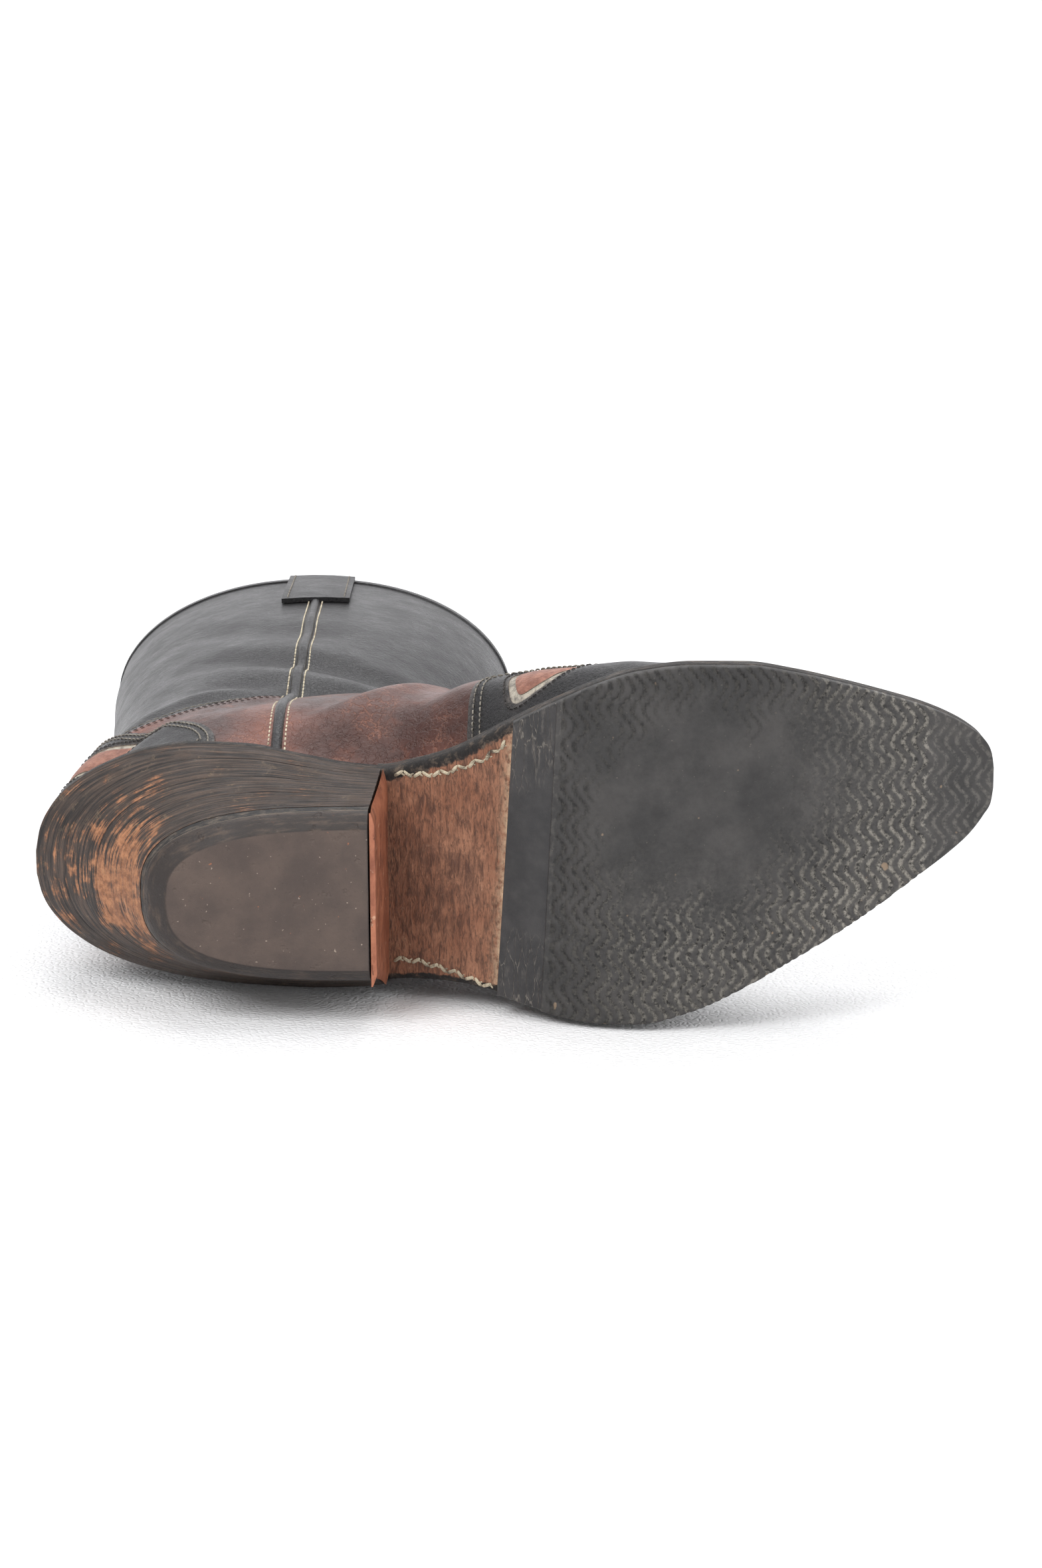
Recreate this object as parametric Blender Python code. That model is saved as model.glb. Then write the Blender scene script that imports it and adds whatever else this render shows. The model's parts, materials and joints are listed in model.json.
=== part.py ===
"""Left cowboy boot with an underslung heel, lying on its outer side. Metres, +Z up.

The pieces are modelled standing: X runs from the heel to the toe, Y to the outer side, Z up, with X = 0
at the rear of the sole and Z = 0 at the ground. An empty then lays the whole boot on its outer side.
"""
import math

import bmesh
import bpy
import numpy as np
from mathutils import Matrix, Vector

# Driving sizes
LENGTH = 0.294
BALL_WIDTH = 0.110
WAIST_WIDTH = 0.069
SEAT_WIDTH = 0.077
TOE_WIDTH = 0.028
HEEL_RISE = 0.0425
TOE_SPRING = 0.017
TOE_BOX = 0.026
BALL_HEIGHT = 0.045
INSTEP_HEIGHT = 0.112
COLLAR_HEIGHT = 0.322
SHAFT_DEPTH = 0.152
SHAFT_WIDTH = 0.084
ANKLE_DEPTH = 0.122
SCALLOP = 0.030
WALL = 0.0024
LASTING_MARGIN = 0.012

# Sole and heel sizes
HALF_SOLE = 0.004
STRIP_STEP = 0.0008
STRIP_WIDTH = 0.013
OUTSOLE = 0.0045
WELT = 0.003
WELT_WIDTH = 0.0048
SEAT_RIM = 0.003
INSOLE = 0.003
LIFT_LENGTH = 0.060
LIFT_WIDTH = 0.0435
LIFT_HEIGHT = 0.0062
LIFT_BEVEL = 0.0045
LIFT_REAR_BEVEL = 0.007
LIFT_BASE = 0.003
HEEL_BREAST = 0.105
BREAST_SLOPE = 0.003
BREAST_FLAP = 0.0016
LIFT_SQUARE = 2.8

# Overlay, piping and strap sizes
OVERLAY = 0.0013
PIPING_WIDTH = 0.0036
PIPING_HEIGHT = 0.0013
STRAP_WIDTH = 0.026
STRAP_THICK = 0.0018
STRAP_RISE = 0.007
STRAP_ROOM = 0.0010

# Clearance between neighbours
GAP = 0.0003

# Places of the seams and ends
HALF_SOLE_REAR = 0.496 * LENGTH
HALF_SOLE_SKEW = 0.0027
SEAM_X = 0.255 * LENGTH
FEATHER = 0.0012
FEATHER_RADIUS = 0.0025
OVAL = 2.15
FLAT_SHARE = 0.25
BEND_SHARE = 0.5
OVERLAY_FOOT = 0.0045
INSOLE_REAR = 0.070 * LENGTH
INSOLE_FRONT = 0.900 * LENGTH
INSOLE_ROOM = 0.0024
INSOLE_SEAT = 0.0008
WELT_ROOM = 0.0006
FLAP_DROP = 0.0006

# Counts
SIDE_POINTS = 13
DENSE = 81
OUTLINE_POINTS = 160
WELT_STEP = 5
ACROSS = 5
HALF_SOLE_ROWS = 20
HEEL_POINTS = 33
STACK_RINGS = 7
BREAST_ROWS = 5
INSOLE_ROWS = 18
EDGE_POINTS = 12
PIPING_ROWS = 26
STRAP_COLUMNS = 4
STRAP_ROWS = 6
STRAP_TURN = 5

# Colours
LEATHER_BROWN = (0.125, 0.047, 0.026)
LEATHER_TAN = (0.30, 0.125, 0.060)
BLACK_LEATHER = (0.016, 0.015, 0.017)
RUBBER_GREY = (0.050, 0.048, 0.047)
RUBBER_BROWN = (0.095, 0.073, 0.063)

# Sole outline: place along the length, inner edge and outer edge
OUTLINE = [
    (0.000 * LENGTH, -0.055 * SEAT_WIDTH, 0.035 * SEAT_WIDTH),
    (0.005 * LENGTH, -0.150 * SEAT_WIDTH, 0.120 * SEAT_WIDTH),
    (0.017 * LENGTH, -0.240 * SEAT_WIDTH, 0.205 * SEAT_WIDTH),
    (0.041 * LENGTH, -0.335 * SEAT_WIDTH, 0.297 * SEAT_WIDTH),
    (0.075 * LENGTH, -0.412 * SEAT_WIDTH, 0.376 * SEAT_WIDTH),
    (0.119 * LENGTH, -0.474 * SEAT_WIDTH, 0.436 * SEAT_WIDTH),
    (0.170 * LENGTH, -0.502 * SEAT_WIDTH, 0.476 * SEAT_WIDTH),
    (0.224 * LENGTH, -0.496 * SEAT_WIDTH, 0.496 * SEAT_WIDTH),
    (0.286 * LENGTH, -0.455 * SEAT_WIDTH, 0.504 * SEAT_WIDTH),
    (0.340 * LENGTH, -0.472 * WAIST_WIDTH, 0.548 * WAIST_WIDTH),
    (0.367 * LENGTH, -0.467 * WAIST_WIDTH, 0.522 * WAIST_WIDTH),
    (0.401 * LENGTH, -0.505 * WAIST_WIDTH, 0.497 * WAIST_WIDTH),
    (0.442 * LENGTH, -0.572 * WAIST_WIDTH, 0.489 * WAIST_WIDTH),
    (0.483 * LENGTH, -0.678 * WAIST_WIDTH, 0.504 * WAIST_WIDTH),
    (0.517 * LENGTH, -0.482 * BALL_WIDTH, 0.333 * BALL_WIDTH),
    (0.551 * LENGTH, -0.532 * BALL_WIDTH, 0.354 * BALL_WIDTH),
    (0.592 * LENGTH, -0.587 * BALL_WIDTH, 0.363 * BALL_WIDTH),
    (0.633 * LENGTH, -0.622 * BALL_WIDTH, 0.360 * BALL_WIDTH),
    (0.687 * LENGTH, -0.637 * BALL_WIDTH, 0.324 * BALL_WIDTH),
    (0.741 * LENGTH, -0.635 * BALL_WIDTH, 0.257 * BALL_WIDTH),
    (0.789 * LENGTH, -0.613 * BALL_WIDTH, 0.186 * BALL_WIDTH),
    (0.837 * LENGTH, -0.580 * BALL_WIDTH, 0.114 * BALL_WIDTH),
    (0.884 * LENGTH, -0.542 * BALL_WIDTH, 0.036 * BALL_WIDTH),
    (0.925 * LENGTH, -0.504 * BALL_WIDTH, -0.038 * BALL_WIDTH),
    (0.955 * LENGTH, -0.312 * BALL_WIDTH - 0.61 * TOE_WIDTH, -0.312 * BALL_WIDTH + 0.86 * TOE_WIDTH),
    (0.976 * LENGTH, -0.303 * BALL_WIDTH - 0.51 * TOE_WIDTH, -0.303 * BALL_WIDTH + 0.64 * TOE_WIDTH),
    (0.991 * LENGTH, -0.297 * BALL_WIDTH - 0.39 * TOE_WIDTH, -0.297 * BALL_WIDTH + 0.42 * TOE_WIDTH),
    (0.998 * LENGTH, -0.293 * BALL_WIDTH - 0.26 * TOE_WIDTH, -0.293 * BALL_WIDTH + 0.28 * TOE_WIDTH),
    (1.000 * LENGTH, -0.292 * BALL_WIDTH - 0.13 * TOE_WIDTH, -0.292 * BALL_WIDTH + 0.13 * TOE_WIDTH),
]

# Underside of the leather outsole: place along the length, height over the tread's plane
PROFILE = [
    (0.000 * LENGTH, HALF_SOLE + 1.000 * HEEL_RISE),
    (0.120 * LENGTH, HALF_SOLE + 0.965 * HEEL_RISE),
    (0.250 * LENGTH, HALF_SOLE + 0.885 * HEEL_RISE),
    (0.357 * LENGTH, HALF_SOLE + 0.775 * HEEL_RISE),
    (0.420 * LENGTH, HALF_SOLE + 0.600 * HEEL_RISE),
    (0.480 * LENGTH, HALF_SOLE + 0.390 * HEEL_RISE),
    (0.540 * LENGTH, HALF_SOLE + 0.180 * HEEL_RISE),
    (0.590 * LENGTH, HALF_SOLE + 0.055 * HEEL_RISE),
    (0.640 * LENGTH, HALF_SOLE),
    (0.720 * LENGTH, HALF_SOLE),
    (0.780 * LENGTH, HALF_SOLE + 0.075 * TOE_SPRING),
    (0.860 * LENGTH, HALF_SOLE + 0.320 * TOE_SPRING),
    (0.930 * LENGTH, HALF_SOLE + 0.640 * TOE_SPRING),
    (1.000 * LENGTH, HALF_SOLE + 1.000 * TOE_SPRING),
]
SEAT_TOP = HALF_SOLE + HEEL_RISE + OUTSOLE + GAP
SHAFT_RISE = COLLAR_HEIGHT - SEAT_TOP
ABOVE_INSTEP = COLLAR_HEIGHT - INSTEP_HEIGHT - HALF_SOLE - OUTSOLE - 0.27 * HEEL_RISE
STACK_START = LIFT_BASE / (HALF_SOLE + HEEL_RISE - LIFT_HEIGHT)

# Sections of the upper. Each lies in a plane through a low point, on the sole or the back, and a high
# point, on the vamp or the front. Heights are over the sole's top face at that place.
# low_x, low_rise, high_x, high_rise: where the plane meets the middle of the upper
# outer, inner: half widths, counted from the sole's inset edge while on_sole is 1
# fullest: where it is widest, from 0 at the low point to 1 at the high point
# boxy: 1 for a flat low end with feather edges, 0 for an oval one; arch: how boxy its high end is
# ridge: side shift of the high point
SECTION_COLUMNS = ("low_x", "low_rise", "high_x", "high_rise", "outer", "inner", "on_sole",
                   "fullest", "boxy", "arch", "ridge")
REAR = SEAT_RIM
SECTIONS = [
    (0.980 * LENGTH, 0, 0.980 * LENGTH, 0.30 * TOE_BOX, 0, 0, 1, 0.50, 0.6, 2.0, -0.292 * BALL_WIDTH),
    (0.975 * LENGTH, 0, 0.972 * LENGTH, 0.52 * TOE_BOX, 0, 0, 1, 0.42, 0.8, 2.0, -0.292 * BALL_WIDTH),
    (0.960 * LENGTH, 0, 0.953 * LENGTH, 0.76 * TOE_BOX, 0, 0, 1, 0.34, 1.0, 2.1, -0.292 * BALL_WIDTH),
    (0.925 * LENGTH, 0, 0.915 * LENGTH, 0.95 * TOE_BOX, 0, 0, 1, 0.30, 1.0, 2.2, -0.284 * BALL_WIDTH),
    (0.867 * LENGTH, 0, 0.857 * LENGTH, 1.12 * TOE_BOX, 0, 0, 1, 0.28, 1.0, 2.2, -0.260 * BALL_WIDTH),
    (0.789 * LENGTH, 0, 0.776 * LENGTH, 0.78 * BALL_HEIGHT, 0, 0, 1, 0.25, 1.0, 2.1, -0.215 * BALL_WIDTH),
    (0.697 * LENGTH, 0, 0.687 * LENGTH, 1.02 * BALL_HEIGHT, 0, 0, 1, 0.24, 1.0, 2.0, -0.165 * BALL_WIDTH),
    (0.605 * LENGTH, 0, 0.612 * LENGTH, 0.53 * INSTEP_HEIGHT, 0, 0.035 * BALL_WIDTH, 1,
     0.26, 1.0, 1.95, -0.125 * BALL_WIDTH),
    (0.510 * LENGTH, 0, 0.551 * LENGTH, 0.66 * INSTEP_HEIGHT, 0.030 * BALL_WIDTH, 0.115 * BALL_WIDTH, 1,
     0.31, 1.0, 1.95, -0.100 * BALL_WIDTH),
    (0.415 * LENGTH, 0, 0.510 * LENGTH, 0.78 * INSTEP_HEIGHT, 0.050 * BALL_WIDTH, 0.190 * BALL_WIDTH, 1,
     0.34, 1.0, 2.0, -0.085 * BALL_WIDTH),
    (0.313 * LENGTH, 0, 0.483 * LENGTH, 0.90 * INSTEP_HEIGHT, 0.000 * BALL_WIDTH, 0.160 * BALL_WIDTH, 1,
     0.35, 1.0, 2.0, -0.070 * BALL_WIDTH),
    (0.211 * LENGTH, 0, REAR + 1.110 * ANKLE_DEPTH, 1.00 * INSTEP_HEIGHT, 0.460 * SEAT_WIDTH,
     0.535 * SEAT_WIDTH, 0, 0.32, 1.0, 2.0, -0.055 * BALL_WIDTH),
    (0.122 * LENGTH, 0, REAR + 1.090 * ANKLE_DEPTH, INSTEP_HEIGHT + 0.065 * ABOVE_INSTEP,
     0.455 * SEAT_WIDTH, 0.515 * SEAT_WIDTH, 0, 0.30, 1.0, 2.0, -0.045 * BALL_WIDTH),
    (0.058 * LENGTH, 0, REAR + 1.078 * ANKLE_DEPTH, INSTEP_HEIGHT + 0.120 * ABOVE_INSTEP,
     0.448 * SEAT_WIDTH, 0.490 * SEAT_WIDTH, 0, 0.30, 1.0, 2.0, -0.038 * BALL_WIDTH),
    (0.024 * LENGTH, 0, REAR + 1.075 * ANKLE_DEPTH, INSTEP_HEIGHT + 0.165 * ABOVE_INSTEP,
     0.442 * SEAT_WIDTH, 0.470 * SEAT_WIDTH, 0, 0.32, 0.95, 2.0, -0.032 * BALL_WIDTH),
    (REAR + 0.000 * ANKLE_DEPTH, 0.030 * SHAFT_RISE, REAR + 1.073 * ANKLE_DEPTH,
     INSTEP_HEIGHT + 0.210 * ABOVE_INSTEP, 0.437 * SEAT_WIDTH, 0.455 * SEAT_WIDTH, 0,
     0.36, 0.45, 2.0, -0.028 * BALL_WIDTH),
    (REAR - 0.012 * ANKLE_DEPTH, 0.095 * SHAFT_RISE, REAR + 1.073 * ANKLE_DEPTH,
     INSTEP_HEIGHT + 0.265 * ABOVE_INSTEP, 0.435 * SEAT_WIDTH, 0.445 * SEAT_WIDTH, 0,
     0.39, 0.1, 2.0, -0.024 * BALL_WIDTH),
    (REAR + 0.018 * ANKLE_DEPTH, 0.195 * SHAFT_RISE, REAR + 1.084 * ANKLE_DEPTH,
     INSTEP_HEIGHT + 0.340 * ABOVE_INSTEP, 0.412 * SHAFT_WIDTH, 0.412 * SHAFT_WIDTH, 0,
     0.42, 0, 2.0, -0.018 * BALL_WIDTH),
    (REAR + 0.048 * ANKLE_DEPTH, 0.325 * SHAFT_RISE, REAR + 1.108 * ANKLE_DEPTH,
     INSTEP_HEIGHT + 0.440 * ABOVE_INSTEP, 0.430 * SHAFT_WIDTH, 0.430 * SHAFT_WIDTH, 0,
     0.45, 0, 2.0, -0.012 * BALL_WIDTH),
    (REAR + 0.032 * ANKLE_DEPTH, 0.485 * SHAFT_RISE, REAR + 0.918 * SHAFT_DEPTH,
     INSTEP_HEIGHT + 0.565 * ABOVE_INSTEP, 0.462 * SHAFT_WIDTH, 0.462 * SHAFT_WIDTH, 0,
     0.48, 0, 2.05, -0.008 * BALL_WIDTH),
    (REAR - 0.008 * ANKLE_DEPTH, 0.680 * SHAFT_RISE, REAR + 0.945 * SHAFT_DEPTH,
     INSTEP_HEIGHT + 0.720 * ABOVE_INSTEP, 0.488 * SHAFT_WIDTH, 0.488 * SHAFT_WIDTH, 0,
     0.50, 0, 2.1, -0.006 * BALL_WIDTH),
    (REAR - 0.045 * ANKLE_DEPTH, 0.850 * SHAFT_RISE, REAR + 0.963 * SHAFT_DEPTH,
     INSTEP_HEIGHT + 0.862 * ABOVE_INSTEP, 0.500 * SHAFT_WIDTH, 0.500 * SHAFT_WIDTH, 0,
     0.50, 0, 2.15, -0.005 * BALL_WIDTH),
    (REAR - 0.062 * ANKLE_DEPTH, 1.000 * SHAFT_RISE, REAR + 0.972 * SHAFT_DEPTH,
     INSTEP_HEIGHT + 1.000 * ABOVE_INSTEP, 0.500 * SHAFT_WIDTH, 0.500 * SHAFT_WIDTH, 0,
     0.50, 0, 2.15, -0.005 * BALL_WIDTH),
]
SHAFT_CENTRE = -0.018 * BALL_WIDTH
HOLE_FIRST = 3.0
INNER_TOE = 1.4
HOLE_LAST = 13.0
SEAT_LAST = 14.0
SCALLOP_FROM = 18.0
TOP = len(SECTIONS) - 1.0

# Rear edge of the wingtip seen from the side: place along the length, height over the sole
WINGTIP_EDGE = [
    (0.460 * LENGTH, 0.00 * BALL_HEIGHT),
    (0.460 * LENGTH, 0.28 * BALL_HEIGHT),
    (0.464 * LENGTH, 0.52 * BALL_HEIGHT),
    (0.476 * LENGTH, 0.72 * BALL_HEIGHT),
    (0.498 * LENGTH, 0.83 * BALL_HEIGHT),
    (0.528 * LENGTH, 0.84 * BALL_HEIGHT),
    (0.558 * LENGTH, 0.77 * BALL_HEIGHT),
    (0.582 * LENGTH, 0.69 * BALL_HEIGHT),
    (0.600 * LENGTH, 0.76 * BALL_HEIGHT),
    (0.622 * LENGTH, 0.87 * BALL_HEIGHT),
    (0.650 * LENGTH, 0.92 * BALL_HEIGHT),
    (0.655 * LENGTH, 1.00 * BALL_HEIGHT),
    (0.625 * LENGTH, 1.16 * BALL_HEIGHT),
    (0.590 * LENGTH, 1.60 * BALL_HEIGHT),
]
WINGTIP_LAST = 10.0

# Upper edge of the counter overlay seen from the side: place along the length, height over the seat
COUNTER_EDGE = [
    (0.190 * LENGTH, 0.00 * INSTEP_HEIGHT),
    (0.186 * LENGTH, 0.08 * INSTEP_HEIGHT),
    (0.170 * LENGTH, 0.16 * INSTEP_HEIGHT),
    (0.140 * LENGTH, 0.25 * INSTEP_HEIGHT),
    (0.105 * LENGTH, 0.34 * INSTEP_HEIGHT),
    (0.075 * LENGTH, 0.43 * INSTEP_HEIGHT),
    (0.045 * LENGTH, 0.52 * INSTEP_HEIGHT),
    (0.020 * LENGTH, 0.57 * INSTEP_HEIGHT),
    (-0.040 * LENGTH, 0.59 * INSTEP_HEIGHT),
]
COUNTER_FIRST = 10.0
COUNTER_LAST = 19.0
HEEL_OVERHANG = 0.040 * LENGTH

# Ends of the piping and of the pull straps, as sections
PIPING_FIRST = 10.62
PIPING_LAST = 20.5
STRAP_FIRST = 20.6

# Underslung heel, from the top lift's rim to the seat: height share, rear flare, side flare
HEEL_FLARE = [(0.00, 0.00, 0.00), (0.20, 0.11, 0.16), (0.40, 0.27, 0.34), (0.60, 0.47, 0.54),
              (0.80, 0.71, 0.77), (0.93, 0.90, 0.93), (1.00, 1.00, 1.00)]


def smooth(table, column, at):
    """Monotone cubic through one column of a table, over its first column."""
    data = np.array([(row[0], row[column]) for row in table], float)
    return smooth_values(data[:, 0], data[:, 1], at)


def smooth_values(xs, ys, at):
    """Monotone cubic through the points (xs, ys)."""
    step = np.diff(xs)
    slope = np.diff(ys) / step
    tangent = np.zeros(len(xs))
    tangent[0], tangent[-1] = slope[0], slope[-1]
    same = slope[:-1] * slope[1:] > 0
    weight_a = 2 * step[1:] + step[:-1]
    weight_b = step[1:] + 2 * step[:-1]
    inner = np.zeros(len(slope) - 1)
    inner[same] = (weight_a + weight_b)[same] / (weight_a[same] / slope[:-1][same]
                                                 + weight_b[same] / slope[1:][same])
    tangent[1:-1] = inner
    at = np.clip(np.asarray(at, float), xs[0], xs[-1])
    k = np.clip(np.searchsorted(xs, at, side="right") - 1, 0, len(step) - 1)
    t = (at - xs[k]) / step[k]
    return ((1 + 2 * t) * (1 - t) ** 2 * ys[k] + t * (1 - t) ** 2 * step[k] * tangent[k]
            + t * t * (3 - 2 * t) * ys[k + 1] + t * t * (t - 1) * step[k] * tangent[k + 1])


def sole_edge(side, x):
    """Outline of the sole: side -1 is the inner edge, +1 the outer."""
    return smooth(OUTLINE, 1 if side < 0 else 2, x)


def underside(x):
    """Height of the leather outsole's underside."""
    return smooth(PROFILE, 1, x)


def sole_top(x):
    """Height at which the upper and the welt sit on the outsole."""
    return underside(x) + OUTSOLE + GAP


def rim_width(x):
    """How far the upper stands inside the sole's edge: less at the seat than along the welt."""
    return SEAT_RIM + (WELT_WIDTH - SEAT_RIM) * np.clip((x - 0.8 * HEEL_BREAST) / (0.2 * HEEL_BREAST), 0, 1)


def outline_loop():
    """The sole's outline from the rear, along the outer edge, round the toe and back, as flat points."""
    x = LENGTH * 0.5 * (1 - np.cos(np.linspace(0, math.pi, OUTLINE_POINTS)))
    outer = np.column_stack([x, sole_edge(1, x)])
    inner = np.column_stack([x, sole_edge(-1, x)])[::-1]
    return np.vstack([outer, inner])


def inset_loop(extra=0.0):
    """The outline moved in by the rim, to where the upper stands."""
    loop = outline_loop()
    tangent = np.roll(loop, -1, axis=0) - np.roll(loop, 1, axis=0)
    tangent /= np.linalg.norm(tangent, axis=1)[:, None]
    inward = np.column_stack([tangent[:, 1], -tangent[:, 0]])
    return loop + inward * (rim_width(loop[:, 0]) + extra)[:, None]


def inset_edge(side, x, extra=0.0):
    """Edge of the inset outline at a place along the length."""
    loop = inset_loop(extra)
    half = len(loop) // 2
    part = loop[:half] if side > 0 else loop[half:][::-1]
    return np.interp(x, np.maximum.accumulate(part[:, 0]), part[:, 1])


def section_value(name, k):
    """One column of the upper's table at section k, which may lie between two sections."""
    column = SECTION_COLUMNS.index(name)
    numbered = [(i, row[column]) for i, row in enumerate(SECTIONS)]
    return float(smooth(numbered, 1, k))


class Section:
    """One ring of the upper: a boxy or oval loop in a plane through its low and its high point."""

    def __init__(self, k):
        self.k = k
        low_x, high_x = section_value("low_x", k), section_value("high_x", k)
        low_z = float(sole_top(low_x)) + section_value("low_rise", k)
        high_z = float(sole_top(high_x)) + section_value("high_rise", k)
        self.span = math.hypot(high_x - low_x, high_z - low_z)
        self.low = np.array([low_x, 0.0, low_z])
        self.along = np.array([high_x - low_x, 0.0, high_z - low_z]) / self.span
        self.flat, self.normal, self.arc = {}, {}, {}
        self.shape()

    def shape(self):
        """Work out both half loops from the low point to the high point."""
        k, low_x = self.k, self.low[0]
        on_seat = float(np.clip(SEAT_LAST + 1 - k, 0, 1))
        on_sole = section_value("on_sole", k)
        edges = {side: float(inset_edge(side, low_x)) for side in (1, -1)}
        low_y = on_seat * 0.5 * (edges[1] + edges[-1]) + (1 - on_seat) * SHAFT_CENTRE
        high_y = section_value("ridge", k)
        fullest = section_value("fullest", k)
        widest_y = low_y + (high_y - low_y) * fullest
        for side, name in ((1, "outer"), (-1, "inner")):
            own = section_value(name, k)
            full = on_sole * (side * (edges[side] - widest_y) + own) + (1 - on_sole) * own
            foot = max(side * (edges[side] - low_y), 0)
            low = self.low_part(foot, full, fullest * self.span)
            high = self.high_part(full, fullest * self.span)
            reach, up = np.vstack([low, high[1:]]).T
            flat = np.column_stack([low_y + (high_y - low_y) * up / self.span + side * reach, up])
            slope = np.gradient(flat, axis=0)
            slope /= np.maximum(np.linalg.norm(slope, axis=1), 1e-12)[:, None]
            normal = side * np.column_stack([slope[:, 1], -slope[:, 0]])
            normal[0], normal[-1] = (0, -1), (0, 1)
            self.flat[side], self.normal[side] = flat, normal
            steps = np.linalg.norm(np.diff(flat, axis=0), axis=1)
            self.arc[side] = np.concatenate([[0], np.cumsum(steps)])

    def low_part(self, foot, full, tall):
        """Half loop below its widest place: a flat foot with a feather edge, mixed with an oval."""
        u = np.linspace(0, 1, DENSE)
        bottom, bend, wall = (np.clip((u - first) / (last - first), 0, 1) for first, last in
                              ((0, FLAT_SHARE), (FLAT_SHARE, BEND_SHARE), (BEND_SHARE, 1)))
        radius = min(FEATHER_RADIUS, foot)
        up = radius * (1 - np.cos(0.5 * math.pi * bend)) + wall * (tall - radius)
        climb = np.clip((up - WELT) / (tall - WELT), 0, 1) ** 0.8
        swell = climb ** 2 * (3 - 2 * climb)
        out = bottom * (foot - radius) + radius * np.sin(0.5 * math.pi * bend) + (full - foot) * swell
        oval_out = full * np.sin(0.5 * math.pi * u) ** (2 / OVAL)
        oval_up = tall * (1 - np.abs(np.cos(0.5 * math.pi * u)) ** (2 / OVAL))
        boxy = section_value("boxy", self.k)
        return np.column_stack([boxy * out + (1 - boxy) * oval_out, boxy * up + (1 - boxy) * oval_up])

    def high_part(self, full, tall):
        """Half loop from its widest place to the ridge."""
        turn = np.linspace(0, 0.5 * math.pi, DENSE)
        arch = section_value("arch", self.k)
        out = full * np.abs(np.cos(turn)) ** (2 / arch)
        out[-1] = 0
        return np.column_stack([out, tall + (self.span - tall) * np.sin(turn) ** (2 / arch)])

    def corner(self, side):
        """Length along the half loop to its feather edge."""
        return float(np.interp(FEATHER, self.flat[side][:, 1], self.arc[side]))

    def stations(self, side, count):
        """Lengths along a half loop, from the lasting margin's edge over the feather edge to the top."""
        corner = self.corner(side)
        margin = max(corner - LASTING_MARGIN, 0.3 * corner)
        rest = np.linspace(corner + 3 * FEATHER, self.arc[side][-1], count - 2)
        return np.concatenate([[margin, corner], rest])

    def at(self, side, arcs, offset=0.0):
        """Points at lengths along a half loop, moved out by an offset."""
        arc = self.arc[side]
        y = np.interp(arcs, arc, self.flat[side][:, 0])
        s = np.interp(arcs, arc, self.flat[side][:, 1])
        normal = np.column_stack([np.interp(arcs, arc, self.normal[side][:, i]) for i in (0, 1)])
        normal /= np.linalg.norm(normal, axis=1)[:, None]
        points = self.low + np.outer(s + offset * normal[:, 1], self.along)
        points[:, 1] = y + offset * normal[:, 0]
        points[:, 2] += self.scallop(y)
        return points

    def scallop(self, y):
        """Rise of the collar at its sides and dip at its front and back."""
        share = float(np.clip((self.k - SCALLOP_FROM) / (TOP - SCALLOP_FROM), 0, 1)) ** 1.5
        aside = np.clip(np.abs(y - SHAFT_CENTRE) / (0.5 * SHAFT_WIDTH), 0, 1)
        return SCALLOP * share * (aside ** 1.6 - 0.5)

    def loop(self, count, offset=0.0):
        """Closed ring of points: outer side up to the ridge, then down the inner side."""
        outer = self.at(1, self.stations(1, count), offset)
        inner = self.at(-1, self.stations(-1, count), offset)
        return np.vstack([outer, inner[::-1][1:]])


def grid_faces(rows, columns, closed=False, skip=None):
    """Quads of a grid of points; a closed one joins its last column to its first."""
    faces = []
    for r in range(rows - 1):
        for c in range(columns if closed else columns - 1):
            if skip and skip(r, c):
                continue
            d = (c + 1) % columns
            faces.append((r * columns + c, r * columns + d, (r + 1) * columns + d, (r + 1) * columns + c))
    return faces


def thicken(name, faces, front, back, collection):
    """One closed solid from a sheet of faces with a front and a back point for each corner."""
    count = len(front)
    used = {}
    for face in faces:
        for a, b in zip(face, face[1:] + face[:1]):
            used[(a, b)] = used.get((a, b), 0) + 1
    walls = [(b, a, a + count, b + count) for (a, b) in used if (b, a) not in used]
    behind = [tuple(i + count for i in reversed(face)) for face in faces]
    points = [tuple(p) for p in front] + [tuple(p) for p in back]
    return solid(name, points, list(faces) + behind + walls, collection)


def solid(name, points, faces, collection):
    """An object from points and faces, triangulated, with its faces pointing out."""
    mesh = bpy.data.meshes.new(name)
    mesh.from_pydata(points, [], faces)
    work = bmesh.new()
    work.from_mesh(mesh)
    bmesh.ops.delete(work, geom=[v for v in work.verts if not v.link_faces], context="VERTS")
    bmesh.ops.recalc_face_normals(work, faces=work.faces)
    bmesh.ops.triangulate(work, faces=work.faces)
    if work.calc_volume(signed=True) < 0:
        bmesh.ops.reverse_faces(work, faces=work.faces)
    work.to_mesh(mesh)
    work.free()
    mesh.shade_smooth()
    mesh.set_sharp_from_angle(angle=math.radians(35))
    piece = bpy.data.objects.new(name, mesh)
    collection.objects.link(piece)
    return piece


def paint(piece, colour, roughness):
    """The piece's own material."""
    material = bpy.data.materials.new(piece.name)
    material.use_nodes = True
    shader = material.node_tree.nodes["Principled BSDF"]
    shader.inputs["Base Color"].default_value = (*colour, 1)
    shader.inputs["Roughness"].default_value = roughness
    shader.inputs["Metallic"].default_value = 0
    material.diffuse_color = (*colour, 1)
    piece.data.materials.append(material)


def plate(name, xs, edges, low, high, collection):
    """A bent plate between two edges, from its low to its high face."""
    across = np.linspace(0, 1, ACROSS)
    flat = np.array([(x, edges(-1, x) * (1 - a) + edges(1, x) * a) for x in xs for a in across])
    bottom = np.column_stack([flat, low(flat[:, 0])])
    top = np.column_stack([flat, high(flat[:, 0])])
    return thicken(name, grid_faces(len(xs), ACROSS), bottom, top, collection)


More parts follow.
